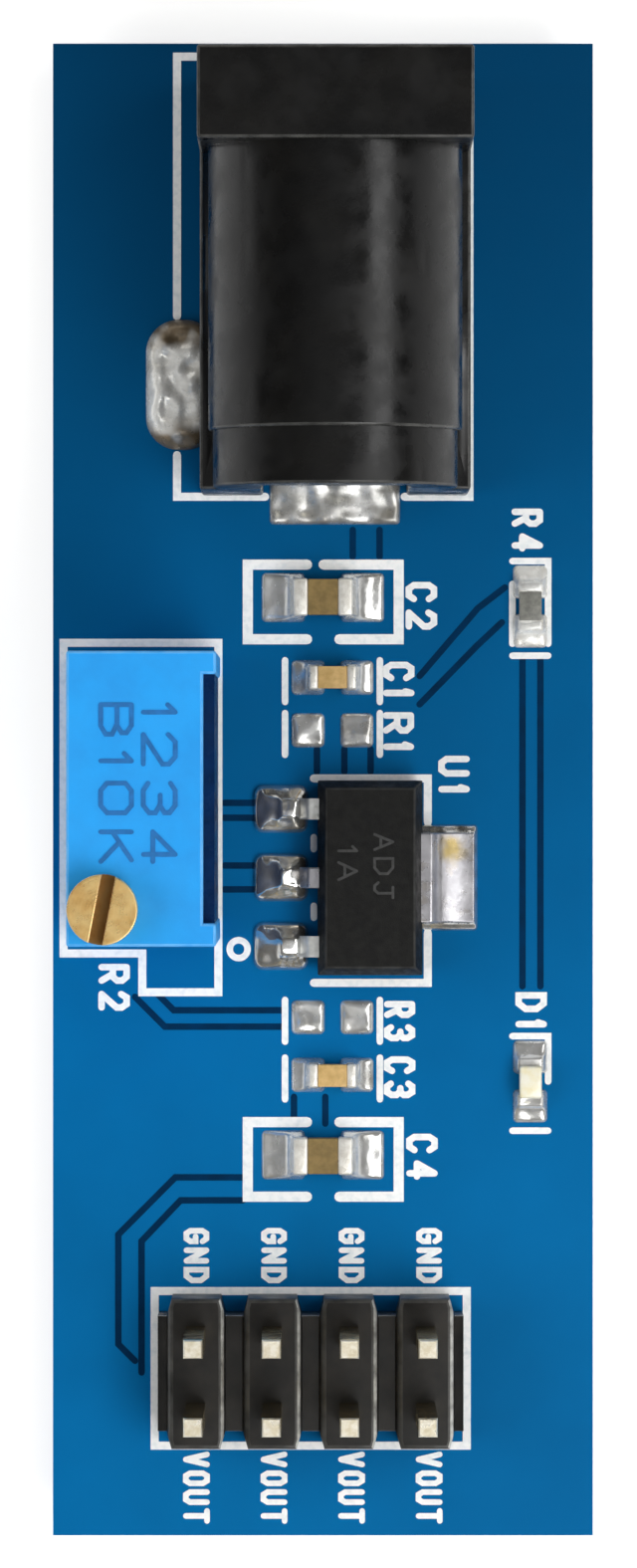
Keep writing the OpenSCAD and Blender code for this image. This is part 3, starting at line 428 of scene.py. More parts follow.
class Surface:
    """One finish as it is wired into a material."""

    wave_rate: float = 20.0

    def __init__(self, finish: Finish, effects: Effects) -> None:
        """Start the material.

        Args:
            finish: The finish.
            effects: The shared effects.
        """
        self.finish, self.effects = finish, effects
        self.material = bpy.data.materials.new(finish.name)
        self.material.use_nodes = True
        self.wires = Wiring(self.material.node_tree)
        self.place = self.wires.add("ShaderNodeTexCoord").outputs["Object"]

    def build(self) -> Material:
        """Wire the material.

        Returns:
            The material.
        """
        wires, finish = self.wires, self.finish
        tones = linear(finish.tone), linear(finish.second)
        colour = wires.mix(self.patches(finish.patch, finish.spread), *tones)
        gloss = self.patches(finish.rough_patch, EVEN_CUT)
        rough = wires.ramp(gloss, (0.0, 1.0), finish.rough)
        # Pale edge tone: wear on most finishes; on the header and the jack it is partly a painted
        # highlight along rounded edges.
        if finish.wear_and_sheen:
            edge_wear_and_sheen = {"Vector": self.place, "Edge": self.mask(EDGE_MASK), "Share": finish.wear_and_sheen_share}
            colour = wires.mix(wires.effect(self.effects.edge_wear_and_sheen, edge_wear_and_sheen), colour, linear(finish.wear_and_sheen))
        # Film tone: dried flux on solder, and painted shade on the floor of the screw's slot.
        if finish.film:
            film = self.mask(FILM_AND_SHADE_MASK)
            colour = wires.mix(film, colour, linear(finish.film))
            rough = wires.math("ADD", rough, wires.math("MULTIPLY", film, finish.film_rough))
        if finish.stain:
            colour = wires.mix(self.stain(gloss), colour, linear(finish.stain))
        board = Span.of("board")
        # Painted falloff: the colour darkens towards the board's far end, standing in for light
        # that falls off there.
        if finish.far:
            reach = (board.y0 + finish.painted_falloff_from) * MM, board.y1 * MM
            painted_falloff = wires.ramp(wires.axis(self.place, 1), reach)
            colour = wires.mix(painted_falloff, colour, linear(finish.far))
        if finish.core:
            depth = wires.axis(self.place, 2)
            above = wires.math("GREATER_THAN", depth, (board.z0 + finish.core_skin) * MM)
            below = wires.math("LESS_THAN", depth, (board.z1 - finish.core_skin) * MM)
            layers = self.streaks(finish.core_layer, finish.core_run)
            core = wires.mix(layers, *(linear(tone) for tone in finish.core))
            colour = wires.mix(wires.math("MULTIPLY", above, below), colour, core)
        relief = {"Strength": 1.0, "Distance": finish.grain_depth * MM, "Height": self.height()}
        shader = self.material.node_tree.nodes["Principled BSDF"]
        for label, value in {
            "Base Color": colour,
            "Roughness": rough,
            "Normal": wires.add("ShaderNodeBump", relief).outputs[0],
            "Metallic": finish.metallic,
            "Coat Weight": finish.coat,
            "Coat Roughness": finish.coat_rough,
            "Specular IOR Level": finish.specular,
            "Transmission Weight": finish.through,
        }.items():
            wires.feed(value, shader.inputs[label])
        return self.material

    def patches(self, size: float, cut: Point) -> Socket:
        """Place soft patches of a size, cut between two levels."""
        values = {"Vector": self.place, "Size": size, "Low": cut[0], "High": cut[1]}
        return self.wires.effect(self.effects.patches, values)

    def streaks(self, size: float, run: Spot) -> Socket:
        """Place fine lines of a size, drawn out where the run is small."""
        values = {"Vector": self.place, "Size": size, **dict(zip(Effects.along, run))}
        return self.wires.effect(self.effects.streaks, values)

    def mask(self, name: str) -> Socket:
        """Read a mask that the piece's mesh carries."""
        return self.wires.add("ShaderNodeAttribute", attribute_name=name).outputs["Fac"]

    def stain(self, gloss: Socket) -> Socket:
        """Wire a ragged stain about one spot.

        Args:
            gloss: The patches that make its edge ragged.

        Returns:
            The stain's mask.
        """
        wires, finish = self.wires, self.finish
        spot = tuple(v * MM for v in finish.stain_at)
        away = wires.vector("DISTANCE", self.place, spot).outputs[1]
        smooth, ragged = finish.stain_mix
        edge = wires.ramp(away, (0.0, finish.stain_r * MM), (0.0, smooth))
        edge = wires.math("ADD", edge, wires.math("MULTIPLY", gloss, ragged))
        return wires.ramp(edge, finish.stain_cut, (finish.stain_depth, 0.0))

    def height(self) -> Socket:
        """Wire the relief: grain, drawn lines or turned rings.

        Returns:
            The relief's socket.
        """
        finish = self.finish
        if finish.streak:
            return self.streaks(finish.grain, finish.streak)
        if not finish.turned_at:
            return self.patches(finish.grain, finish.grain_cut)
        shift = (*(-v * MM for v in finish.turned_at), 0.0)
        centred = self.wires.add("ShaderNodeMapping", {"Vector": self.place, "Location": shift})
        rings = {
            "Vector": centred.outputs[0],
            "Scale": math.tau / self.wave_rate / (finish.ring_pitch * MM),
            "Distortion": finish.ring_waver,
        }
        return self.wires.add(
            "ShaderNodeTexWave", rings, wave_type="RINGS", rings_direction="Z"
        ).outputs[1]


@dataclass(frozen=True)
class Span:
    """Box of a CAD node in millimetres."""

    x0: float
    y0: float
    z0: float
    x1: float
    y1: float
    z1: float

    @classmethod
    def of(cls, node: str) -> "Span":
        """Measure a node of the frame."""
        low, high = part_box(node)
        return cls(*(v / MM for v in (*low, *high)))

    @property
    def x(self) -> float:
        """Middle across the board."""
        return (self.x0 + self.x1) / 2

    @property
    def y(self) -> float:
        """Middle along the board."""
        return (self.y0 + self.y1) / 2

    def around(self, margin: Sides) -> Sides:
        """Give the left, right, low and high sides of a frame at margins round the box."""
        left, right, low, high = margin
        return self.x0 - left, self.x1 + right, self.y0 - low, self.y1 + high


def put(name: str, data: bpy.types.ID) -> bpy.types.Object:
    """Add an object to the scene.

    Args:
        name: Its name.
        data: Its mesh, camera or light.

    Returns:
        The object.
    """
    made = bpy.data.objects.new(name, data)
    bpy.context.scene.collection.objects.link(made)
    return made


def mesh_of(name: str, work: Work) -> bpy.types.Mesh:
    """Make a workpiece into a mesh.

    Args:
        name: Name of the mesh.
        work: The workpiece, freed here.

    Returns:
        The mesh.
    """
    mesh = bpy.data.meshes.new(name)
    work.to_mesh(mesh)
    work.free()
    return mesh


def corners(made: list) -> list[bmesh.types.BMVert]:
    """Pick the corners from what an operator made."""
    return [part for part in made if isinstance(part, bmesh.types.BMVert)]


def copy_of(node: str, weld: float = 0.0005, flat: float = 0.5) -> Work:
    """Copy a CAD node as a welded workpiece with whole flat faces.

    Args:
        node: Name of the node.
        weld: Distance within which loose corners are merged.
        flat: Angle in degrees under which neighbouring faces become one.

    Returns:
        The workpiece in millimetres.
    """
    work = bmesh.new()
    work.from_mesh(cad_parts[node].data)
    bmesh.ops.transform(work, matrix=Matrix.Scale(1 / MM, 4), verts=work.verts)
    bmesh.ops.remove_doubles(work, verts=work.verts, dist=weld)
    bmesh.ops.dissolve_limit(
        work, angle_limit=math.radians(flat), verts=work.verts, edges=work.edges
    )
    return work


def soften(
    work: Work,
    width: float,
    pick: Callable[[Vector], bool] = lambda middle: True,
    segments: int = 3,
    sharper_than: float = 25.0,
) -> Work:
    """Round the outer edges of a workpiece and mark them for wear and painted edge highlight.

    Args:
        work: The workpiece.
        width: Width of the rounding.
        pick: Says by an edge's middle whether the edge is rounded.
        segments: Number of steps across the rounding.
        sharper_than: Least turn in degrees of an edge that is rounded.

    Returns:
        The same workpiece.
    """
    mask = work.faces.layers.float.get(EDGE_MASK) or work.faces.layers.float.new(EDGE_MASK)
    edges = [
        edge
        for edge in work.edges
        if edge.is_manifold
        and edge.is_convex
        and edge.calc_face_angle() > math.radians(sharper_than)
        and pick((edge.verts[0].co + edge.verts[1].co) / 2)
    ]
    rounded = bmesh.ops.bevel(
        work, geom=edges, offset=width, offset_type="OFFSET", segments=segments, profile=0.5,
        affect="EDGES", clamp_overlap=True, material=-1,
    )
    for face in rounded["faces"]:
        face[mask] = 1.0
    return work


@dataclass(frozen=True)
class Line:
    """A printed line that follows a few points."""

    points: tuple[Point, ...]
    width: float
    closed: bool = False
    round_end: ClassVar[tuple[Point, ...]] = ((0.0, 1.0), (0.6, 0.8), (0.95, 0.31))
    sharpest: ClassVar[float] = 0.3

    def lay(self, work: Work, level: float) -> None:
        """Lay a flat mitred ribbon with round ends along the line.

        Args:
            work: The workpiece that takes it.
            level: Height that it lies at.
        """
        points = [Vector(p) for p in self.points]
        count = len(points)
        steps = [(points[(i + 1) % count] - points[i]).normalized() for i in range(count)]
        half = self.width / 2
        cuts = []
        for i, point in enumerate(points):
            before = steps[i - 1] if self.closed or i > 0 else steps[i]
            after = steps[i] if self.closed or i < count - 1 else before
            side = Vector((-after.y, after.x))
            normal = (Vector((-before.y, before.x)) + side).normalized()
            if not self.closed and i in (0, count - 1):
                out = after * (-half if i == 0 else half)
                cap = [(point + out * on, normal * half * share) for on, share in self.round_end]
                cuts += cap if i else cap[::-1]
            else:
                cuts.append((point, normal * half / max(self.sharpest, normal.dot(side))))
        left = [work.verts.new((*(at + out), level)) for at, out in cuts]
        right = {vertex: (*(at - out), level) for vertex, (at, out) in zip(left, cuts)}
        pairs = zip(left, left[1:] + (left[:1] if self.closed else []))
        edges = [work.edges.new(pair) for pair in pairs]
        for vertex in corners(bmesh.ops.extrude_edge_only(work, edges=edges)["geom"]):
            ends = (edge.other_vert(vertex) for edge in vertex.link_edges)
            vertex.co = right[next(end for end in ends if end in right)]


ROUND = ((25, 100), (75, 100), (100, 80), (100, 20), (75, 0), (25, 0), (0, 20), (0, 80))
OPEN_ROUND = (*ROUND[2::-1], *ROUND[:2:-1])
STEM = ((0, 0), (0, 100))
STROKES: dict[str, tuple[tuple[Point, ...], ...]] = {
    "0": ((*ROUND, ROUND[0]),),
    "1": (((70, 100), (70, 0)), ((0, 76), (70, 100))),
    "2": (((0, 78), (25, 100), (75, 100), (100, 80), (100, 60), (0, 0)), ((0, 0), (100, 0))),
    "3": (
        ((0, 85), (25, 100), (75, 100), (100, 82), (100, 66), (75, 53), (40, 53)),
        ((70, 53), (100, 38), (100, 18), (75, 0), (25, 0), (0, 15)),
    ),
    "4": (((76, 0), (76, 100)), ((0, 30), (100, 30)), ((76, 100), (0, 30))),
    "A": (((0, 0), (50, 100)), ((50, 100), (100, 0)), ((20, 34), (80, 34))),
    "B": (
        STEM,
        ((0, 100), (70, 100), (95, 84), (95, 68), (70, 53), (0, 53)),
        ((65, 53), (100, 37), (100, 16), (72, 0), (0, 0)),
    ),
    "C": (OPEN_ROUND,),
    "D": (((0, 0), (0, 100), (60, 100), (100, 72), (100, 28), (60, 0), (0, 0)),),
    "G": ((*OPEN_ROUND, (100, 46), (55, 46)),),
    "J": (((70, 100), (70, 20), (50, 0), (20, 0), (0, 20)), ((30, 100), (100, 100))),
    "K": (STEM, ((95, 100), (0, 38)), ((35, 60), (100, 0))),
    "N": (STEM, ((0, 100), (100, 0)), ((100, 0), (100, 100))),
    "O": ((*ROUND, ROUND[0]),),
    "R": (
        STEM,
        ((0, 100), (72, 100), (100, 82), (100, 62), (72, 45), (0, 45)),
        ((50, 45), (100, 0)),
    ),
    "T": (((0, 100), (100, 100)), ((50, 100), (50, 0))),
    "U": (((0, 100), (0, 20), (25, 0), (75, 0), (100, 20), (100, 100)),),
    "V": (((0, 100), (50, 0)), ((50, 0), (100, 100))),
}


@dataclass(frozen=True)
class Legend:
    """Words drawn in strokes, in a box about a middle point, that read down the board."""

    words: str
    middle: Point
    length: float
    height: float
    stroke: float
    gap: float = 0.35
    stroke_lift: ClassVar[float] = 0.0006
    narrow: ClassVar[dict[str, float]] = {"1": 0.45}
    reading: ClassVar[float] = math.radians(-90)

    def lay(self, work: Work, level: float) -> None:
        """Lay the strokes of the letters as flat ribbons.

        Args:
            work: The workpiece that takes them.
            level: Height of the surface that they lie on.
        """
        shares = [self.narrow.get(letter, 1.0) for letter in self.words]
        cell = self.length / (sum(shares) + self.gap * (len(shares) - 1))
        turn = Matrix.Rotation(self.reading, 2)
        corner = Vector((self.stroke - self.length, self.stroke - self.height)) / 2
        for letter, share in zip(self.words, shares):
            size = Vector((cell * share - self.stroke, self.height - self.stroke)) / 100
            for lift, stroke in enumerate(STROKES[letter]):
                points = tuple(
                    tuple(Vector(self.middle) + turn @ (corner + size * Vector(p))) for p in stroke
                )
                closed = stroke[0] == stroke[-1]
                line = Line(points[:-1] if closed else points, self.stroke, closed)
                line.lay(work, level + lift * self.stroke_lift)
            corner.x += cell * (share + self.gap)


@dataclass(frozen=True)
class Pool:
    """One flowed solder joint: its land, its crown and the metal that it climbs."""

    middle: Point
    half: Point
    crown: float
    rim: float = 0.3
    corner: float = 0.25
    metal: Sides | None = None
    climb: float = 0.0
    run: float = 0.6
    lumps: float = 0.05
    film: float = 0.1
    burnt: float = 0.0
    side: Side = Side.TOP
    cell: ClassVar[float] = 0.06
    least_cells: ClassVar[int] = 6
    sunk: ClassVar[float] = 0.01
    lump_rate: ClassVar[float] = 1.7
    lump_seed: ClassVar[float] = 3.1
    film_rate: ClassVar[float] = 2.3
    film_seed: ClassVar[float] = 7.0
    film_level: ClassVar[float] = 0.35
    film_at_edge: ClassVar[float] = 1.6
    most_film: ClassVar[float] = 0.9
    burnt_from: ClassVar[float] = 0.45
    burnt_level: ClassVar[float] = 0.6

    def surface(self, x: float, y: float) -> Point:
        """Work out the solder at a point of the joint.

        Args:
            x: Place across the board.
            y: Place along the board.

        Returns:
            Its height above the board, and the share of dried flux on it.
        """
        dx = abs(x - self.middle[0]) - self.half[0] + self.corner
        dy = abs(y - self.middle[1]) - self.half[1] + self.corner
        if max(dx, dy) >= 0:
            inside = self.corner - math.hypot(max(dx, 0.0), max(dy, 0.0))
        else:
            inside = self.corner + 1 / math.hypot(1 / dx, 1 / dy)
        share = min(max(inside / self.rim, 0.0), 1.0)
        edge = math.sqrt(1 - (1 - share) ** 2)
        seed = self.middle[0] * self.lump_seed + self.middle[1]
        swirl = noise.noise(Vector((x * self.lump_rate, y * self.lump_rate, seed)))
        height = self.crown * edge
        if self.metal:
            x0, y0, x1, y1 = self.metal
            away = math.hypot(max(x0 - x, x - x1, 0.0), max(y0 - y, y - y1, 0.0))
            near = 1 - min(away / self.run, 1.0)
            height += self.climb * (1 - math.sqrt(1 - near * near)) * edge
        near_edge = 1 - min(max(inside / (2 * self.rim), 0.0), 1.0)
        at = Vector((x * self.film_rate + self.film_seed, y * self.film_rate, self.middle[1]))
        patch = noise.noise(at) + self.film_level
        film = self.film * (self.film_level + self.film_at_edge * near_edge) * max(patch, 0.0) * 2
        to_end = max(abs(y - self.middle[1]) / self.half[1] - self.burnt_from, 0.0)
        burnt = self.burnt * to_end / (1 - self.burnt_from) * (self.burnt_level + patch)
        film = min(max(film, burnt, 0.0), self.most_film)
        return height + self.lumps * edge * swirl, film

    def flow(self, work: Work, board: Span) -> None:
        """Flow the joint onto its side of the board.

        Args:
            work: The workpiece that takes it.
            board: Box of the board.
        """
        level = board.z1 if self.side is Side.TOP else board.z0
        mask = work.verts.layers.float.get(FILM_AND_SHADE_MASK) or work.verts.layers.float.new(FILM_AND_SHADE_MASK)
        columns, rows = (max(self.least_cells, round(2 * half / self.cell)) for half in self.half)
        grid = bmesh.ops.create_grid(work, x_segments=columns, y_segments=rows, size=1.0)["verts"]
        inner = [half - self.corner for half in self.half]
        for vertex in grid:
            local = [vertex.co.x * self.half[0], vertex.co.y * self.half[1]]
            past = [(abs(v) - core) / self.corner for v, core in zip(local, inner)]
            if min(past) > 0:
                pull = max(past) / math.hypot(*past)
                local = [
                    math.copysign(core + pull * p * self.corner, v)
                    for v, core, p in zip(local, inner, past)
                ]
            x, y = local[0] + self.middle[0], local[1] + self.middle[1]
            height, vertex[mask] = self.surface(x, y)
            vertex.co = (x, y, level + self.side.value * height)
        rim = (edge for vertex in grid for edge in vertex.link_edges if edge.is_boundary)
        made = bmesh.ops.extrude_edge_only(work, edges=list(dict.fromkeys(rim)))["geom"]
        for vertex in corners(made):
            vertex.co.z = level - self.side.value * self.sunk
        foot = [part for part in made if isinstance(part, bmesh.types.BMEdge)]
        bmesh.ops.holes_fill(work, edges=foot, sides=0)


class Bench:
    """Turns workpieces into pieces of the scene and keeps the materials."""

    solder_crease: float = 70.0

    def __init__(self) -> None:
        """Build the shared effects."""
        self.effects = Effects()
        self.made: dict[str, Material] = {}

    def material(self, finish: Finish) -> Material:
        """Give a finish's material.

        Args:
            finish: The finish.

        Returns:
            The material, built at its first use.
        """
        if finish.name not in self.made:
            self.made[finish.name] = Surface(finish, self.effects).build()
        return self.made[finish.name]

    def dress(self, finish: Finish, *nodes: str) -> None:
        """Give CAD nodes a finish.

        Args:
            finish: The finish.
            nodes: Names of the nodes.
        """
        for node in nodes:
            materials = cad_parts[node].data.materials
            materials.clear()
            materials.append(self.material(finish))
            log.info("%s keeps its CAD shape, in %s", node, finish.name)

    def place(
        self,
        name: str,
        work: Work,
        finish: Finish,
        replaces: Iterable[str] = (),
        body: Body = Body.MODULE,
        crease: float = 40.0,
        true_normal: Normal | None = None,
    ) -> None:
        """Make a workpiece into a piece that rides on a body.

        Args:
            name: Name of the piece.
            work: The workpiece in millimetres, freed here.
            finish: Its finish.
            replaces: CAD nodes that it stands for.
            body: The body that carries it.
            crease: Angle in degrees above which an edge stays sharp.
            true_normal: Gives a corner's normal on a face whose round form is known.
        """
        bmesh.ops.recalc_face_normals(work, faces=work.faces)
        bmesh.ops.transform(work, matrix=Matrix.Scale(MM, 4), verts=work.verts)
        for face in work.faces:
            face.smooth = True
        mesh = mesh_of(name, work)
        mesh.set_sharp_from_angle(angle=math.radians(crease))
        mesh.materials.append(self.material(finish))
        piece = put(name, mesh)
        even = piece.modifiers.new("even_shading", "WEIGHTED_NORMAL")
        even.keep_sharp = True
        if true_normal:
            self.shade(piece, even, true_normal)
        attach(piece, body.value)
        if replaces:
            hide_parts(*replaces)
        log.info("%s rides on %s, in %s", name, body.value, finish.name)

    def shade(
        self, piece: bpy.types.Object, even: bpy.types.Modifier, true_normal: Normal
    ) -> None:
        """Keep a piece's even shading in its mesh, with true normals on its round faces.

        Args:
            piece: The piece.
            even: Its modifier, removed here.
            true_normal: Gives a corner's normal on a round face, and nothing elsewhere.
        """
        mesh = piece.data
        graph = bpy.context.evaluated_depsgraph_get()
        normals = [n.vector.copy() for n in piece.evaluated_get(graph).data.corner_normals]
        for face in mesh.polygons:
            for corner in face.loop_indices:
                place = mesh.vertices[mesh.loops[corner].vertex_index].co
                normals[corner] = true_normal(place, face) or normals[corner]
        piece.modifiers.remove(even)
        mesh.normals_split_custom_set(normals)

    def mark(
        self, name: str, marks: Iterable[Line | Legend], level: float, relief: float, finish: Finish
    ) -> None:
        """Lay lines or words on a surface as one raised piece.

        Args:
            name: Name of the piece.
            marks: The lines or words.
            level: Height that they start from.
            relief: How far they stand up.
            finish: Their finish.
        """
        work = bmesh.new()
        for mark in marks:
            mark.lay(work, level)
        made = bmesh.ops.extrude_face_region(work, geom=list(work.faces))["geom"]
        bmesh.ops.translate(work, verts=corners(made), vec=(0, 0, relief))
        self.place(name, work, finish)

    def solder(self, name: str, node: str, pools: Iterable[Pool], finish: Finish) -> None:
        """Flow joints onto the board and stand them in for a node.

        Args:
            name: Name of the piece.
            node: The node.
            pools: The joints.
            finish: Their finish.
        """
        work, board = bmesh.new(), Span.of("board")
        for pool in pools:
            pool.flow(work, board)
        self.place(name, work, finish, [node], crease=self.solder_crease)


@dataclass(frozen=True)
class Land:
    """The pair of lands of a chip part, reckoned from the part's middle."""

    near: float
    far: float
    width: float
    run: float


SMALL = Land(0.26, 1.38, 1.15, 0.6)
LARGE = Land(0.6, 2.05, 1.65, 1.0)


def spare_rows() -> Point:
    """Give the lengthwise places of the two pairs of empty lands."""
    lands = Span.of("solder_spare_lands")
    return lands.y1 - SMALL.width / 2, lands.y0 + SMALL.width / 2


@dataclass
class Board:
    """The lacquered board, its bare trenches, printed frames and legends."""

    bench: Bench
    trench_w: float = 0.22
    trench_relief: float = 0.004
    print_w: float = 0.27
    frame_w: float = 0.34
    bar_w: float = 0.22
    print_relief: float = 0.018
    letter_w: float = 0.22
    letter_h: float = 1.06
    spare_letter_h: float = 1.05
    small_letter_w: float = 0.19
    small_gap: float = 0.2
    cap_frame: Point = (2.53, 1.25)
    cap_shift: Point = (0.01, -0.15)
    cap_gap: Point = (0.54, 0.54)
    tight_gap: Point = (0.54, 0.01)
    bar_out: float = 1.59
    bar_half: float = 0.7
    bar_shift: float = -0.12
    edge_half: float = 0.6
    edge_reach: Point = (1.52, 1.65)
    edge_gap: float = 0.4
    edge_start: float = 0.75
    jack_margin: Sides = (0.84, 0.06, 0.04, 0.66)
    jack_foot: float = 0.7
    oval_reach: Point = (-1.15, 3.5)
    land_room: float = 0.15
    regulator_margin: Sides = (0.13, 0.19, 0.28, 0.07)
    tab_half: float = 1.85
    lead_room: float = 0.95
    ring_out: Point = (2.52, 0.85)
    ring_r: float = 0.3
    ring_steps: int = 24
    trimmer_margin: Sides = (0.42, -0.06, 0.44, 0.44)
    trimmer_tail: Point = (2.55, 1.3)
    header_margin: Sides = (0.15, 0.15, 0.09, 0.09)
    column_pitch: float = 2.6
    column_shift: float = 0.07

    def build(self) -> None:
        """Make everything that lies on the board's own face."""
        self.bench.dress(Finishes.LACQUER, "board")
        top = Span.of("board").z1
        for name, marks, relief, finish in (
            ("board_trenches", self.trenches(), self.trench_relief, Finishes.TRENCH),
            ("board_frames", self.frames(), self.print_relief, Finishes.PRINT),
            ("board_legends", self.legends(), self.print_relief, Finishes.PRINT),
        ):
            self.bench.mark(name, marks, top, relief, finish)

    def trenches(self) -> list[Line]:
        """Lay out the lines with no copper under the lacquer, beside the tracks.

        Returns:
            The lines.
        """
        paths = [
            ((-2.72, -13.0), (-4.95, -13.0), (-6.86, -14.92), (-6.86, -18.59), (-6.3, -19.15)),
            ((-2.68, -13.77), (-4.77, -13.77), (-6.08, -15.14), (-6.08, -19.54)),
            ((6.1, 6.77), (5.19, 6.07), (3.24, 3.8)),
            ((6.0, 5.6), (5.19, 4.84), (3.24, 2.85)),
            ((-1.3, -7.4), (-5.0, -7.4), (-5.55, -6.85)),
            ((-1.3, -7.95), (-5.3, -7.95), (-6.3, -6.95)),
        ]
        paths += [((-3.3, y), (-2.3, y)) for y in (-0.45, -0.95, -2.55, -3.35)]
        for columns, start, end in (
            ((6.69, 7.29), 4.4, -6.6),
            ((-0.97, 0.08), -10.3, -11.2),
            ((-0.2, 0.72, 1.6), 0.6, 1.35),
            ((1.0, 1.9), 7.8, 8.7),
        ):
            paths += [((x, start), (x, end)) for x in columns]
        return [Line(path, self.trench_w) for path in paths]

    def frames(self) -> list[Line]:
        """Work out the printed frames from the parts that they stand round.

        Returns:
            The lines.
        """
        lines = self.brackets("capacitor_2_ends", self.tight_gap)
        lines += self.brackets("capacitor_4_ends", self.cap_gap)
        first, third = Span.of("capacitor_1_ends"), Span.of("capacitor_3_ends")
        for y in (first.y, *spare_rows(), third.y):
            low, high = (y + self.bar_shift + side * self.bar_half for side in (-1, 1))
            lines += [self.bar(first.x + side * self.bar_out, low, high) for side in (-1, 1)]
        for outline in (self.jack_lines, self.regulator_lines, self.trimmer_lines, self.edge_lines):
            lines += outline()
        return lines

    def bar(self, x: float, low: float, high: float) -> Line:
        """Give a thin line that runs along the board."""
        return Line(((x, low), (x, high)), self.bar_w)

    def brackets(self, node: str, upper: Point) -> list[Line]:
        """Work out two facing brackets round a large capacitor.

        Args:
            node: The node of its metal ends.
            upper: How far the two upper arms end from its middle.

        Returns:
            The two lines.
        """
        part = Span.of(node)
        x, y = part.x + self.cap_shift[0], part.y + self.cap_shift[1]
        w, h = self.cap_frame
        made = []
        for side, above, below in zip((-1, 1), upper, self.cap_gap):
            turns = (above, y + h), (w, y + h), (w, y - h), (below, y - h)
            made.append(Line(tuple((x + side * out, at) for out, at in turns), self.frame_w))
        return made

    def jack_lines(self) -> list[Line]:
        """Work out the jack's outline, broken at the side joint and the rear land.

        Returns:
            The lines.
        """
        jack, switch = Span.of("jack_housing"), Span.of("jack_switch_terminal")
        terminal = Span.of("jack_rear_terminal").x
        land_half = Span.of("solder_jack").x1 - terminal + self.land_room
        left, right, rear, front = jack.around(self.jack_margin)
        lower, upper = (switch.y0 + reach for reach in self.oval_reach)
        paths = (
            ((left + self.jack_foot, front), (left, front), (left, upper)),
            ((left, lower), (left, rear), (terminal - land_half, rear)),
            ((terminal + land_half, rear), (right, rear), (right, front)),
        )
        return [Line(path, self.print_w) for path in paths]

    def regulator_lines(self) -> list[Line]:
        """Work out the regulator's outline, broken at its tab and its leads.

        Returns:
            The lines.
        """
        body = Span.of("regulator_body")
        x0, x1, y0, y1 = body.around(self.regulator_margin)
        leads = [Span.of(f"regulator_{name}").y for name in ("input_lead", "tab", "adjust_lead")]
        ring = x0 - self.ring_out[0], body.y0 + self.ring_out[1]
        turns = [math.tau * i / self.ring_steps for i in range(self.ring_steps)]
        circle = tuple(
            (ring[0] + self.ring_r * math.cos(turn), ring[1] + self.ring_r * math.sin(turn))
            for turn in turns
        )
        lines = [
            Line(((x0, y1), (x1, y1), (x1, body.y + self.tab_half)), self.print_w),
            Line(((x1, body.y - self.tab_half), (x1, y0), (x0, y0)), self.print_w),
            Line(circle, self.bar_w, closed=True),
        ]
        for pair in zip(leads, leads[1:]):
            lines.append(self.bar(x0, min(pair) + self.lead_room, max(pair) - self.lead_room))
        return lines

    def trimmer_lines(self) -> list[Line]:
        """Work out the trimmer's outline with its tail, and the header's.

        Returns:
            The lines.
        """
        x0, x1, y0, y1 = Span.of("trimmer_case").around(self.trimmer_margin)
        tail_x, tail_y = x1 - self.trimmer_tail[0], y0 - self.trimmer_tail[1]
        left, right, low, high = Span.of("header_body").around(self.header_margin)
        paths = (
            ((x0, y1), (x0, y0), (tail_x, y0), (tail_x, tail_y), (x1, tail_y), (x1, y1)),
            ((left, low), (right, low), (right, high), (left, high)),
        )
        return [Line(path, self.print_w, closed=True) for path in paths]

    def edge_lines(self) -> list[Line]:
        """Work out the short brackets at the ends of the resistor and the lamp.

        Returns:
            The lines.
        """
        lines = []
        for node in ("resistor_ends", "lamp_ends"):
            part = Span.of(node)
            x0, x1 = part.x - self.edge_half, part.x + self.edge_half
            top, bottom = part.y + self.edge_reach[0], part.y - self.edge_reach[1]
            side = bottom + self.edge_gap if node == "resistor_ends" else part.y
            lines.append(Line(((x0, top), (x1, top), (x1, side)), self.bar_w))
            lines.append(Line(((x0, bottom), (x1, bottom)), self.bar_w))
            if node == "resistor_ends":
                lines.append(self.bar(x0, part.y + self.edge_start, side))
        return lines

    def legends(self) -> list[Legend]:
        """Work out the printed legends from the parts that they name.

        Returns:
            The legends.
        """
        small, header = Span.of("capacitor_1_ends"), Span.of("header_body")
        made = [
            Legend(words, (small.x + right, y + up), length, self.spare_letter_h, self.letter_w)
            for y, (words, right, up, length) in zip(
                spare_rows(), (("R1", 2.21, -0.04, 1.3), ("R3", 2.25, -0.13, 1.35))
            )
        ]
        for words, node, right, up, length in (
            ("C1", "capacitor_1_ends", 2.22, -0.06, 1.18),
            ("C2", "capacitor_2_ends", 3.3, -0.28, 1.6),
            ("C3", "capacitor_3_ends", 2.25, -0.08, 1.4),
            ("C4", "capacitor_4_ends", 3.32, -0.06, 1.54),
            ("U1", "regulator_body", 2.82, 3.45, 1.26),
            ("R2", "trimmer_case", -1.14, -6.34, 1.57),
            ("R4", "resistor_ends", -0.1, 2.56, 1.44),
            ("D1", "lamp_ends", 0.03, 2.39, 1.21),
        ):
            part = Span.of(node)
            middle = part.x + right, part.y + up
            made.append(Legend(words, middle, length, self.letter_h, self.letter_w))
        for column in (-1.5, -0.5, 0.5, 1.5):
            x = header.x + column * self.column_pitch + self.column_shift
            for words, up, size in (("GND", 3.78, (1.85, 0.86)), ("VOUT", -4.0, (2.42, 0.9))):
                middle = x, header.y + up
                made.append(Legend(words, middle, *size, self.small_letter_w, self.small_gap))
        return made


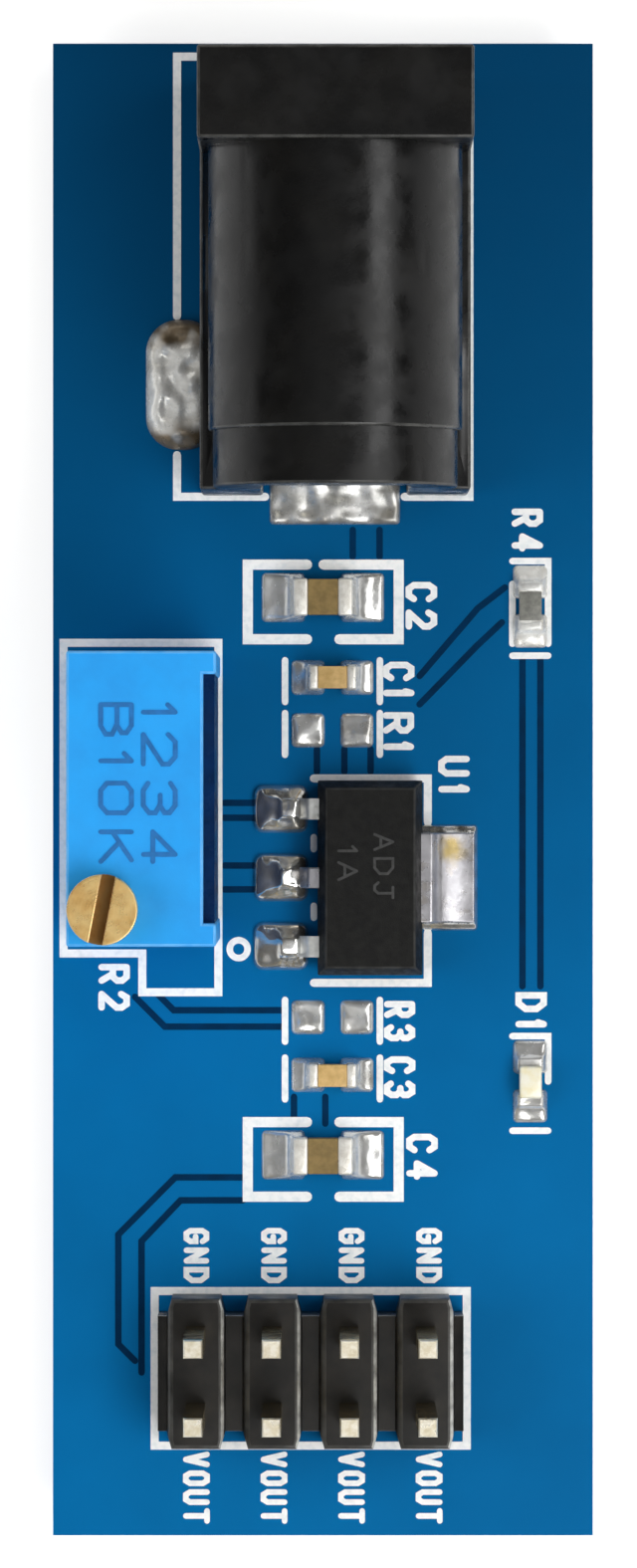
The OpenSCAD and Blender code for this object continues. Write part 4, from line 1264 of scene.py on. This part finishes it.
@dataclass
class Jack:
    """The power jack: softened moulding, plated contacts and its solder."""

    bench: Bench
    edge: float = 0.1
    bore_room: float = 3.7
    barrel_r: float = 4.15
    slack: float = 0.01
    facing_out: float = 0.995
    low_edges: float = 1.0
    land_half: Point = (2.185, 1.385)
    land_out: float = 0.97
    leg_half: Point = (1.2, 0.2)
    oval_half: Point = (1.2, 2.185)
    switch_in: float = 1.2
    spring_in: float = 0.15

    def build(self) -> None:
        """Make the moulding and the joints, and dress the contacts."""
        bore_end = Span.of("jack_housing").y0 + self.slack
        low = Span.of("board").z1 + self.low_edges
        pin = Span.of("jack_centre_pin")
        axis = Vector((pin.x, 0.0, (pin.z0 + pin.z1) / 2))
        square_on = Vector((1, 0, 1))

        def outer(middle: Vector) -> bool:
            """Say whether an edge lies on the moulding's outside."""
            in_bore = (middle - axis).xz.length < self.bore_room and middle.y > bore_end
            return middle.z > low and not in_bore

        def on_barrel(place: Vector, face: bpy.types.MeshPolygon) -> Vector | None:
            """Give the normal of a corner of the round barrel, straight out from its axis.

            Args:
                place: The corner's place in metres.
                face: The face that it belongs to.

            Returns:
                The normal, or nothing where the face isn't on the barrel.
            """
            out = (face.center - axis * MM) * square_on
            if not self.bore_room < out.length / MM < self.barrel_r + self.slack:
                return None
            if face.normal.dot(out.normalized()) < self.facing_out:
                return None
            return ((place - axis * MM) * square_on).normalized()

        moulding = soften(copy_of("jack_housing"), self.edge, outer)
        self.bench.place(
            "jack_moulding", moulding, Finishes.JACK, ["jack_housing"], true_normal=on_barrel
        )
        contacts = ("centre_pin", "rear_terminal", "sleeve_spring", "switch_terminal")
        self.bench.dress(Finishes.PLATED, *(f"jack_{name}" for name in contacts))
        rear, oval, *under = self.pools()
        for name, pools, finish in (
            ("jack_rear_joint", [rear], Finishes.DULL),
            ("jack_side_joint", [oval], Finishes.FLUXED),
            ("jack_under_joints", under, Finishes.SOLDER),
        ):
            self.bench.solder(name, "solder_jack", pools, finish)

    def pools(self) -> list[Pool]:
        """Work out the joints of the three legs from the legs' places.

        Returns:
            The rear joint, the side joint and those under the board.
        """
        rear, spring = Span.of("jack_rear_terminal"), Span.of("jack_sleeve_spring")
        land_y = Span.of("jack_housing").y0 - self.land_out + self.land_half[1]
        w, d = self.leg_half
        switch = (
            Span.of("solder_jack").x0 + self.oval_half[0],
            Span.of("jack_switch_terminal").y0 + self.switch_in,
        )
        across = self.oval_half[::-1]
        under = Pool(
            switch, self.oval_half, 0.7, rim=0.9, corner=1.1, lumps=0.08, side=Side.UNDER
        )
        return [
            Pool(
                (rear.x, land_y), self.land_half, 0.2, corner=0.14,
                metal=(rear.x - w, rear.y - d, rear.x + w, rear.y + d), climb=0.4, run=1.1,
                lumps=0.13, film=0.12,
            ),
            Pool(
                switch, self.oval_half, 0.74, rim=0.55, corner=1.1, lumps=0.22, film=0.06,
                burnt=1.5,
            ),
            replace(under, middle=(rear.x, rear.y), half=across),
            replace(under, middle=(spring.x, spring.y0 + self.spring_in), half=across),
            under,
        ]


@dataclass
class Trimmer:
    """The multi-turn trimmer: case, potting, screw and what they hold."""

    bench: Bench
    edge: float = 0.09
    low_edges: float = 4.0
    seat_r: float = 1.2
    head_edge: float = 0.04
    head_skin: float = 0.02
    slot_depth: Point = (0.05, 0.8)
    slot_shade: float = 0.85
    facing_up: float = 0.5
    mark_relief: float = 0.03
    mark_sunk: float = 0.005
    mark_w: float = 0.15
    mark_l: float = 5.2
    mark_gap: float = 0.42
    mark_up: float = 0.5

    def build(self) -> None:
        """Make the case, its marks and the screw, and dress the rest."""
        case, screw = Span.of("trimmer_case"), Span.of("trimmer_screw")

        def outer(middle: Vector) -> bool:
            """Say whether an edge lies on the case's outside, clear of the screw's seat."""
            from_screw = math.hypot(middle.x - screw.x, middle.y - screw.y)
            return middle.z > case.z0 + self.low_edges and from_screw > self.seat_r

        shell = soften(copy_of("trimmer_case"), self.edge, outer, segments=2)
        self.bench.place("trimmer_shell", shell, Finishes.TRIMMER, ["trimmer_case"])
        y = case.y + self.mark_up
        marks = [
            Legend(words, (case.x + right, y), self.mark_l, height, self.mark_w, self.mark_gap)
            for words, right, height in (("B10K", -0.8, 1.14), ("1234", 0.59, 1.18))
        ]
        self.bench.mark(
            "trimmer_marks", marks, case.z1 - self.mark_sunk, self.mark_relief,
            Finishes.TRIMMER_MARK,
        )
        self.screw(screw)
        for finish, *names in (
            (Finishes.POTTING, "potting"),
            (Finishes.RUBBER, "seal_ring"),
            (Finishes.NYLON, "worm_wheel"),
            (Finishes.SPRING, "wiper"),
            (Finishes.CERAMIC, "element"),
            (Finishes.TINNED, "pin_1", "pin_2", "pin_3"),
        ):
            self.bench.dress(finish, *(f"trimmer_{name}" for name in names))
        self.bench.dress(Finishes.SOLDER, "solder_trimmer")

    def screw(self, screw: Span) -> None:
        """Make the screw, with painted shade on the floor of its slot.

        Args:
            screw: Its box.
        """
        head = copy_of("trimmer_screw")
        soften(head, self.head_edge, lambda middle: middle.z > screw.z1 - self.head_skin)
        head.normal_update()
        # Painted shade: the slot's floor takes the brass's dark film tone.
        slot_shade_layer = head.faces.layers.float.new(FILM_AND_SHADE_MASK)
        top, bottom = (screw.z1 - depth for depth in self.slot_depth)
        for face in head.faces:
            inside = top > face.calc_center_median().z > bottom
            in_slot_shade = inside and face.normal.z > self.facing_up
            face[slot_shade_layer] = self.slot_shade if in_slot_shade else 0.0
        finish = replace(Finishes.BRASS, turned_at=(screw.x, screw.y))
        self.bench.place("trimmer_brass_screw", head, finish, ["trimmer_screw"], Body.SCREW)


@dataclass
class Regulator:
    """The tabbed regulator: body, leads, tab and their solder."""

    bench: Bench
    edge: float = 0.06
    bevelled: float = 0.55
    least_turn: float = 12.0
    mark_w: float = 0.09
    mark_h: float = 0.7
    mark_sunk: float = 0.004
    mark_relief: float = 0.01
    stain_in: Spot = (-0.8, 0.95, 0.25)
    lead_half: Point = (0.92, 0.8)
    lead_past: float = 0.4
    lead_metal: Spot = (0.5, 2.0, 0.3)
    tab_half_w: float = 1.77
    tab_metal_half: float = 1.5
    tab_past: float = 0.1
    tab_under: float = 0.3

    def build(self) -> None:
        """Make the body, its marks and the joints, and dress the leads."""
        body, tab = Span.of("regulator_body"), Span.of("regulator_tab")
        low = body.z1 - self.bevelled
        block = soften(
            copy_of("regulator_body"), self.edge, lambda middle: middle.z > low, 2, self.least_turn
        )
        self.bench.place("regulator_block", block, Finishes.CHIP, ["regulator_body"])
        marks = [
            Legend(words, (body.x + right, body.y + up), length, self.mark_h, self.mark_w)
            for words, right, up, length in (("ADJ", 0.45, 0.4, 2.2), ("1A", -0.75, 0.5, 1.2))
        ]
        level = body.z1 - self.mark_sunk
        self.bench.mark("regulator_marks", marks, level, self.mark_relief, Finishes.CHIP_MARK)
        self.bench.dress(Finishes.TINNED, "regulator_input_lead", "regulator_adjust_lead")
        x, y, z = self.stain_in
        stained = replace(Finishes.TAB, stain_at=(tab.x1 + x, tab.y + y, tab.z0 + z))
        bright = soften(copy_of("regulator_tab"), self.edge)
        self.bench.place("regulator_bright_tab", bright, stained, ["regulator_tab"])
        self.bench.solder(
            "regulator_joints", "solder_regulator", self.pools(body, tab), Finishes.BRIGHT
        )

    def pools(self, body: Span, tab: Span) -> list[Pool]:
        """Work out the joints from the leads and the tab.

        Args:
            body: Box of the body.
            tab: Box of the tab.

        Returns:
            The joints.
        """
        made = []
        start, end, half = self.lead_metal
        for y in (Span.of("regulator_input_lead").y, tab.y, Span.of("regulator_adjust_lead").y):
            made.append(
                Pool(
                    (tab.x0 - self.lead_past + self.lead_half[0], y), self.lead_half, 0.4, rim=0.72,
                    corner=0.34, metal=(tab.x0 + start, y - half, tab.x0 + end, y + half),
                    climb=0.3, run=1.0, lumps=0.12, film=0.12,
                )
            )
        inner, outer = body.x1 - self.tab_under, tab.x1 + self.tab_past
        half = self.tab_metal_half
        made.append(
            Pool(
                ((inner + outer) / 2, tab.y), ((outer - inner) / 2, self.tab_half_w), 0.12, rim=0.2,
                corner=0.12, metal=(inner, tab.y - half, tab.x1, tab.y + half), climb=0.16,
                run=0.25, film=0.15,
            )
        )
        return made


@dataclass
class ChipParts:
    """The capacitors, the resistor, the lamp and the empty lands."""

    bench: Bench
    edge: float = 0.09
    thin_edge: float = 0.02
    lens_edge: float = 0.08

    def build(self) -> None:
        """Make the parts with softened edges and their flowed joints."""
        softened = []
        for index, ceramic in enumerate((Finishes.TAN, Finishes.OLIVE) * 2, start=1):
            softened.append((f"capacitor_{index}_middle", ceramic, self.thin_edge))
            softened.append((f"capacitor_{index}_ends", Finishes.CHIP_END, self.edge))
        softened += [
            ("resistor_ends", Finishes.TINNED, self.edge),
            ("resistor_glaze", Finishes.GLAZE, self.thin_edge),
            ("lamp_ends", Finishes.CHIP_END, self.edge),
            ("lamp_lens", Finishes.LENS, self.lens_edge),
        ]
        for node, finish, edge in softened:
            self.bench.place(f"{node}_soft", soften(copy_of(node), edge), finish, [node])
        self.bench.dress(Finishes.CERAMIC, "resistor_middle")
        self.bench.dress(Finishes.LAMP_WHITE, "lamp_base")
        capacitors = [
            *self.two_ends("capacitor_2_ends", LARGE, 0.75),
            *self.two_ends("capacitor_4_ends", LARGE, 0.75),
            *self.two_ends("capacitor_1_ends", SMALL, 0.5),
            *self.two_ends("capacitor_3_ends", SMALL, 0.5),
        ]
        resistor = self.two_ends("resistor_ends", SMALL, 0.38)
        lamp = self.two_ends("lamp_ends", SMALL, 0.26)
        for name, node, pools, finish in (
            ("capacitor_joints", "solder_capacitors", capacitors, Finishes.SOLDER),
            ("resistor_joints", "solder_resistor", resistor, Finishes.FLUXED),
            ("lamp_joints", "solder_lamp", lamp, Finishes.SOLDER),
            ("spare_land_joints", "solder_spare_lands", self.spare_joints(), Finishes.SOLDER),
        ):
            self.bench.solder(name, node, pools, finish)

    def two_ends(self, node: str, land: Land, climb: float) -> list[Pool]:
        """Work out the joints at both ends of a chip part, whichever way it lies.

        Args:
            node: The node of its metal ends.
            land: Its lands.
            climb: How far the solder climbs the part's end.

        Returns:
            The two joints.
        """
        part = Span.of(node)
        lengthwise = part.y1 - part.y0 > part.x1 - part.x0
        along, across = (land.far - land.near) / 2, land.width / 2
        half = (across, along) if lengthwise else (along, across)
        made = []
        for side in (-1, 1):
            out = side * (land.near + land.far) / 2
            middle = (part.x, part.y + out) if lengthwise else (part.x + out, part.y)
            made.append(
                Pool(
                    middle, half, 0.12, rim=0.22, corner=0.16,
                    metal=(part.x0, part.y0, part.x1, part.y1), climb=climb, run=land.run,
                )
            )
        return made

    def spare_joints(self) -> list[Pool]:
        """Work out the low cushions of solder on the lands with no part.

        Returns:
            The joints.
        """
        x = Span.of("capacitor_1_ends").x
        half = (SMALL.far - SMALL.near) / 2, SMALL.width / 2
        return [
            Pool((x + side * (SMALL.near + half[0]), y), half, 0.15, corner=0.18, lumps=0.1)
            for y in spare_rows()
            for side in (-1, 1)
        ]


@dataclass
class Header:
    """The pin header: moulding, pins and their solder."""

    bench: Bench
    edge: float = 0.14
    web_edge: float = 0.09
    least_turn: Point = (30.0, 60.0)
    top_skin: float = 0.02
    groove_room: float = 0.45
    web_reach: float = 1.8
    pin_room: float = 0.42
    pins: int = 8
    facing_light: float = 0.3
    away_from_light: float = 0.08
    tip_depth: float = 0.16
    tip_proud: float = 0.01

    def build(self) -> None:
        """Make the moulding and the pins' tips, and dress the pins and their joints."""
        body = Span.of("header_body")
        names = [f"header_pin_{i + 1}" for i in range(self.pins)]
        pins = [Span.of(name) for name in names]

        def outer(middle: Vector) -> bool:
            """Say whether an edge lies on the moulding's outside, clear of the pins."""
            gaps = (max(abs(middle.x - pin.x), abs(middle.y - pin.y)) for pin in pins)
            return middle.z > body.z1 - self.top_skin and min(gaps) >= self.pin_room

        def web_end(middle: Vector) -> bool:
            """Say whether an edge is an end of the web in a groove."""
            low = body.z1 - self.edge > middle.z > body.z1 - self.groove_room
            return low and abs(middle.y - body.y) > self.web_reach

        moulding = copy_of("header_body")
        soften(moulding, self.edge, outer, sharper_than=self.least_turn[0])
        soften(moulding, self.web_edge, web_end, sharper_than=self.least_turn[1])
        moulding.normal_update()
        # Painted highlight: the pale edge tone stays at full strength on roundings that face +X on
        # top and +Y in the grooves, towards the lamps; other edges keep a small share of it.
        mask = moulding.faces.layers.float[EDGE_MASK]
        for face in moulding.faces:
            low = face.calc_center_median().z < body.z1 - self.edge
            facing_light = (face.normal.y if low else face.normal.x) > self.facing_light
            face[mask] *= 1.0 if facing_light else self.away_from_light
        self.bench.place("header_moulding", moulding, Finishes.HEADER, ["header_body"])
        self.bench.dress(Finishes.GOLD, *names)
        self.bench.dress(Finishes.SOLDER, "solder_header")
        caps = bmesh.new()
        for name in names:
            self.tip(caps, name)
        self.bench.place("header_pin_tips", caps, Finishes.PIN_TIP)

    def tip(self, caps: Work, name: str) -> None:
        """Cap a pin with the bright metal of its cut tip.

        Args:
            caps: The workpiece that takes the cap.
            name: Node of the pin.
        """
        pin, cap = Span.of(name), copy_of(name)
        foot = pin.z1 - self.tip_depth
        bmesh.ops.bisect_plane(
            cap, geom=[*cap.verts, *cap.edges, *cap.faces], plane_co=(0, 0, foot),
            plane_no=(0, 0, 1), clear_inner=True,
        )
        bmesh.ops.holes_fill(cap, edges=cap.edges, sides=0)
        grow = 1 + 2 * self.tip_proud / (pin.x1 - pin.x0)
        about = Matrix.Translation((pin.x, pin.y, foot))
        larger = Matrix.Diagonal((grow, grow, 1 + self.tip_proud, 1))
        bmesh.ops.transform(cap, matrix=about @ larger @ about.inverted(), verts=cap.verts)
        mesh = mesh_of("cap", cap)
        caps.from_mesh(mesh)
        bpy.data.meshes.remove(mesh)


@dataclass(frozen=True)
class Lamp:
    """A soft lamp that faces the board, with its long side level."""

    name: str
    at: Spot
    size: Point
    power: float
    mirrored: bool = True


@dataclass
class Studio:
    """Camera, lamps, floor and backdrop."""

    frame_px: tuple[int, int] = (640, 1575)
    px_per_mm: float = 29.97
    distance: float = 250.0
    aim: Point = (-0.148, 0.1835)
    sensor: float = 36.0
    sight: Point = (0.01, 10.0)
    lamps: tuple[Lamp, ...] = (
        Lamp("key_lamp", (60.0, -75.0, 140.0), (110.0, 110.0), 0.108),
        Lamp("strip_lamp", (90.0, -20.0, 120.0), (260.0, 52.0), 0.12),
        Lamp("fill_lamp", (-120.0, -15.0, 95.0), (110.0, 70.0), 0.088, mirrored=False),
        Lamp("back_lamp", (-40.0, 170.0, 70.0), (120.0, 40.0), 0.02),
    )
    ambient: float = 0.23
    horizon: Point = (0.06, 0.3)
    zenith: Point = (0.75, 0.97)
    overhead: float = 0.43
    overhead_side: Point = (0.16, -0.06)
    between: float = 0.1
    lift: Point = (0.57, 0.85)
    lift_reach: Point = (40.0, 260.0)
    gloss_lift: float = 0.2
    floor_half: float = 1500.0
    floor_drop: float = 0.02
    floor_tone: tuple[float, float, float, float] = (0.9, 0.9, 0.9, 1.0)
    floor_rough: float = 0.8

    def build(self) -> None:
        """Set up the whole studio."""
        bpy.context.scene.view_settings.view_transform = "Standard"
        self.camera()
        for lamp in self.lamps:
            self.hang(lamp)
        self.floor()
        self.backdrop()

    def camera(self) -> None:
        """Look straight down on the board, as the photograph does."""
        data = bpy.data.cameras.new("camera")
        data.sensor_width = self.sensor
        data.lens = self.sensor * self.distance * self.px_per_mm / max(self.frame_px)
        data.clip_start, data.clip_end = self.sight
        camera = put("camera", data)
        camera.location = Vector((*self.aim, Span.of("board").z1 + self.distance)) * MM
        bpy.context.scene.camera = camera

    def hang(self, lamp: Lamp) -> None:
        """Hang a soft lamp that faces the board.

        Args:
            lamp: The lamp.
        """
        data = bpy.data.lights.new(lamp.name, "AREA")
        data.shape, data.energy = "RECTANGLE", lamp.power
        data.size, data.size_y = (side * MM for side in lamp.size)
        made = put(lamp.name, data)
        made.location = Vector(lamp.at) * MM
        made.rotation_euler = (-made.location).to_track_quat("-Z", "Y").to_euler()
        made.visible_camera, made.visible_glossy = False, lamp.mirrored

    def seen(self, wires: Wiring, gloss: float = 1.0) -> Socket:
        """Mask the rays that show the backdrop.

        Args:
            wires: The tree that takes the mask.
            gloss: Share for glossy and through-going rays, where camera rays have 1.

        Returns:
            The mask's socket.
        """
        path = wires.add("ShaderNodeLightPath").outputs
        mirrored = wires.math("MAXIMUM", path["Is Glossy Ray"], path["Is Transmission Ray"])
        return wires.math("MAXIMUM", path["Is Camera Ray"], wires.math("MULTIPLY", mirrored, gloss))

    def floor(self) -> None:
        """Lay a pale floor that keeps the shadow and can be looked through from below."""
        work = bmesh.new()
        bmesh.ops.create_grid(work, x_segments=1, y_segments=1, size=self.floor_half * MM)
        bmesh.ops.translate(work, verts=work.verts, vec=(0, 0, -self.floor_drop * MM))
        mesh = mesh_of("floor", work)
        material = bpy.data.materials.new("pale_floor")
        material.use_nodes = True
        wires, nodes = Wiring(material.node_tree), material.node_tree.nodes
        shader = nodes["Principled BSDF"]
        shader.inputs["Base Color"].default_value = self.floor_tone
        shader.inputs["Roughness"].default_value = self.floor_rough
        place = wires.add("ShaderNodeTexCoord").outputs["Object"]
        away = wires.vector("LENGTH", place).outputs[1]
        near, far = (reach * MM for reach in self.lift_reach)
        shown = self.seen(wires, self.gloss_lift)
        glow = wires.math("MULTIPLY", shown, wires.ramp(away, (near, far), self.lift))
        lift = wires.add("ShaderNodeEmission", {"Strength": glow})
        lit = wires.add("ShaderNodeAddShader", {0: shader.outputs[0], 1: lift.outputs[0]})
        clear = wires.add("ShaderNodeBsdfTransparent")
        back = wires.add("ShaderNodeNewGeometry").outputs["Backfacing"]
        faced = wires.add("ShaderNodeMixShader", {0: back, 1: lit.outputs[0], 2: clear.outputs[0]})
        wires.feed(faced.outputs[0], nodes["Material Output"].inputs["Surface"])
        mesh.materials.append(material)
        put("floor", mesh)

    def backdrop(self) -> None:
        """Give white for the eye, a pale horizon and ceiling for gloss, and ambient light."""
        world = bpy.data.worlds.new("studio")
        bpy.context.scene.world = world
        world.use_nodes = True
        wires = Wiring(world.node_tree)
        light = world.node_tree.nodes["Background"]
        way = wires.add("ShaderNodeTexCoord").outputs["Generated"]
        low = wires.ramp(wires.axis(way, 2), self.horizon, (1.0, self.between))
        high = wires.ramp(wires.axis(way, 2), self.zenith, (0.0, self.overhead))
        side = wires.ramp(wires.axis(way, 1), self.overhead_side)
        mirrored = wires.math("ADD", low, wires.math("MULTIPLY", high, side))
        camera = wires.add("ShaderNodeLightPath").outputs["Is Camera Ray"]
        shown = wires.add("ShaderNodeMix", {0: camera, 2: mirrored, 3: 1.0}).outputs[0]
        level = wires.add("ShaderNodeMix", {0: self.seen(wires), 2: self.ambient, 3: shown})
        wires.feed((1.0, 1.0, 1.0, 1.0), light.inputs["Color"])
        wires.feed(level.outputs[0], light.inputs["Strength"])


def main() -> None:
    """Dress every sub-assembly and set up the studio."""
    logging.basicConfig(level=logging.INFO, format="%(name)s: %(message)s")
    bench = Bench()
    dressed = [assembly(bench) for assembly in (Board, Jack, Trimmer, Regulator, ChipParts, Header)]
    for assembly in (*dressed, Studio()):
        assembly.build()
        log.info("%s is done", type(assembly).__name__)


if __name__ == "__main__":
    main()
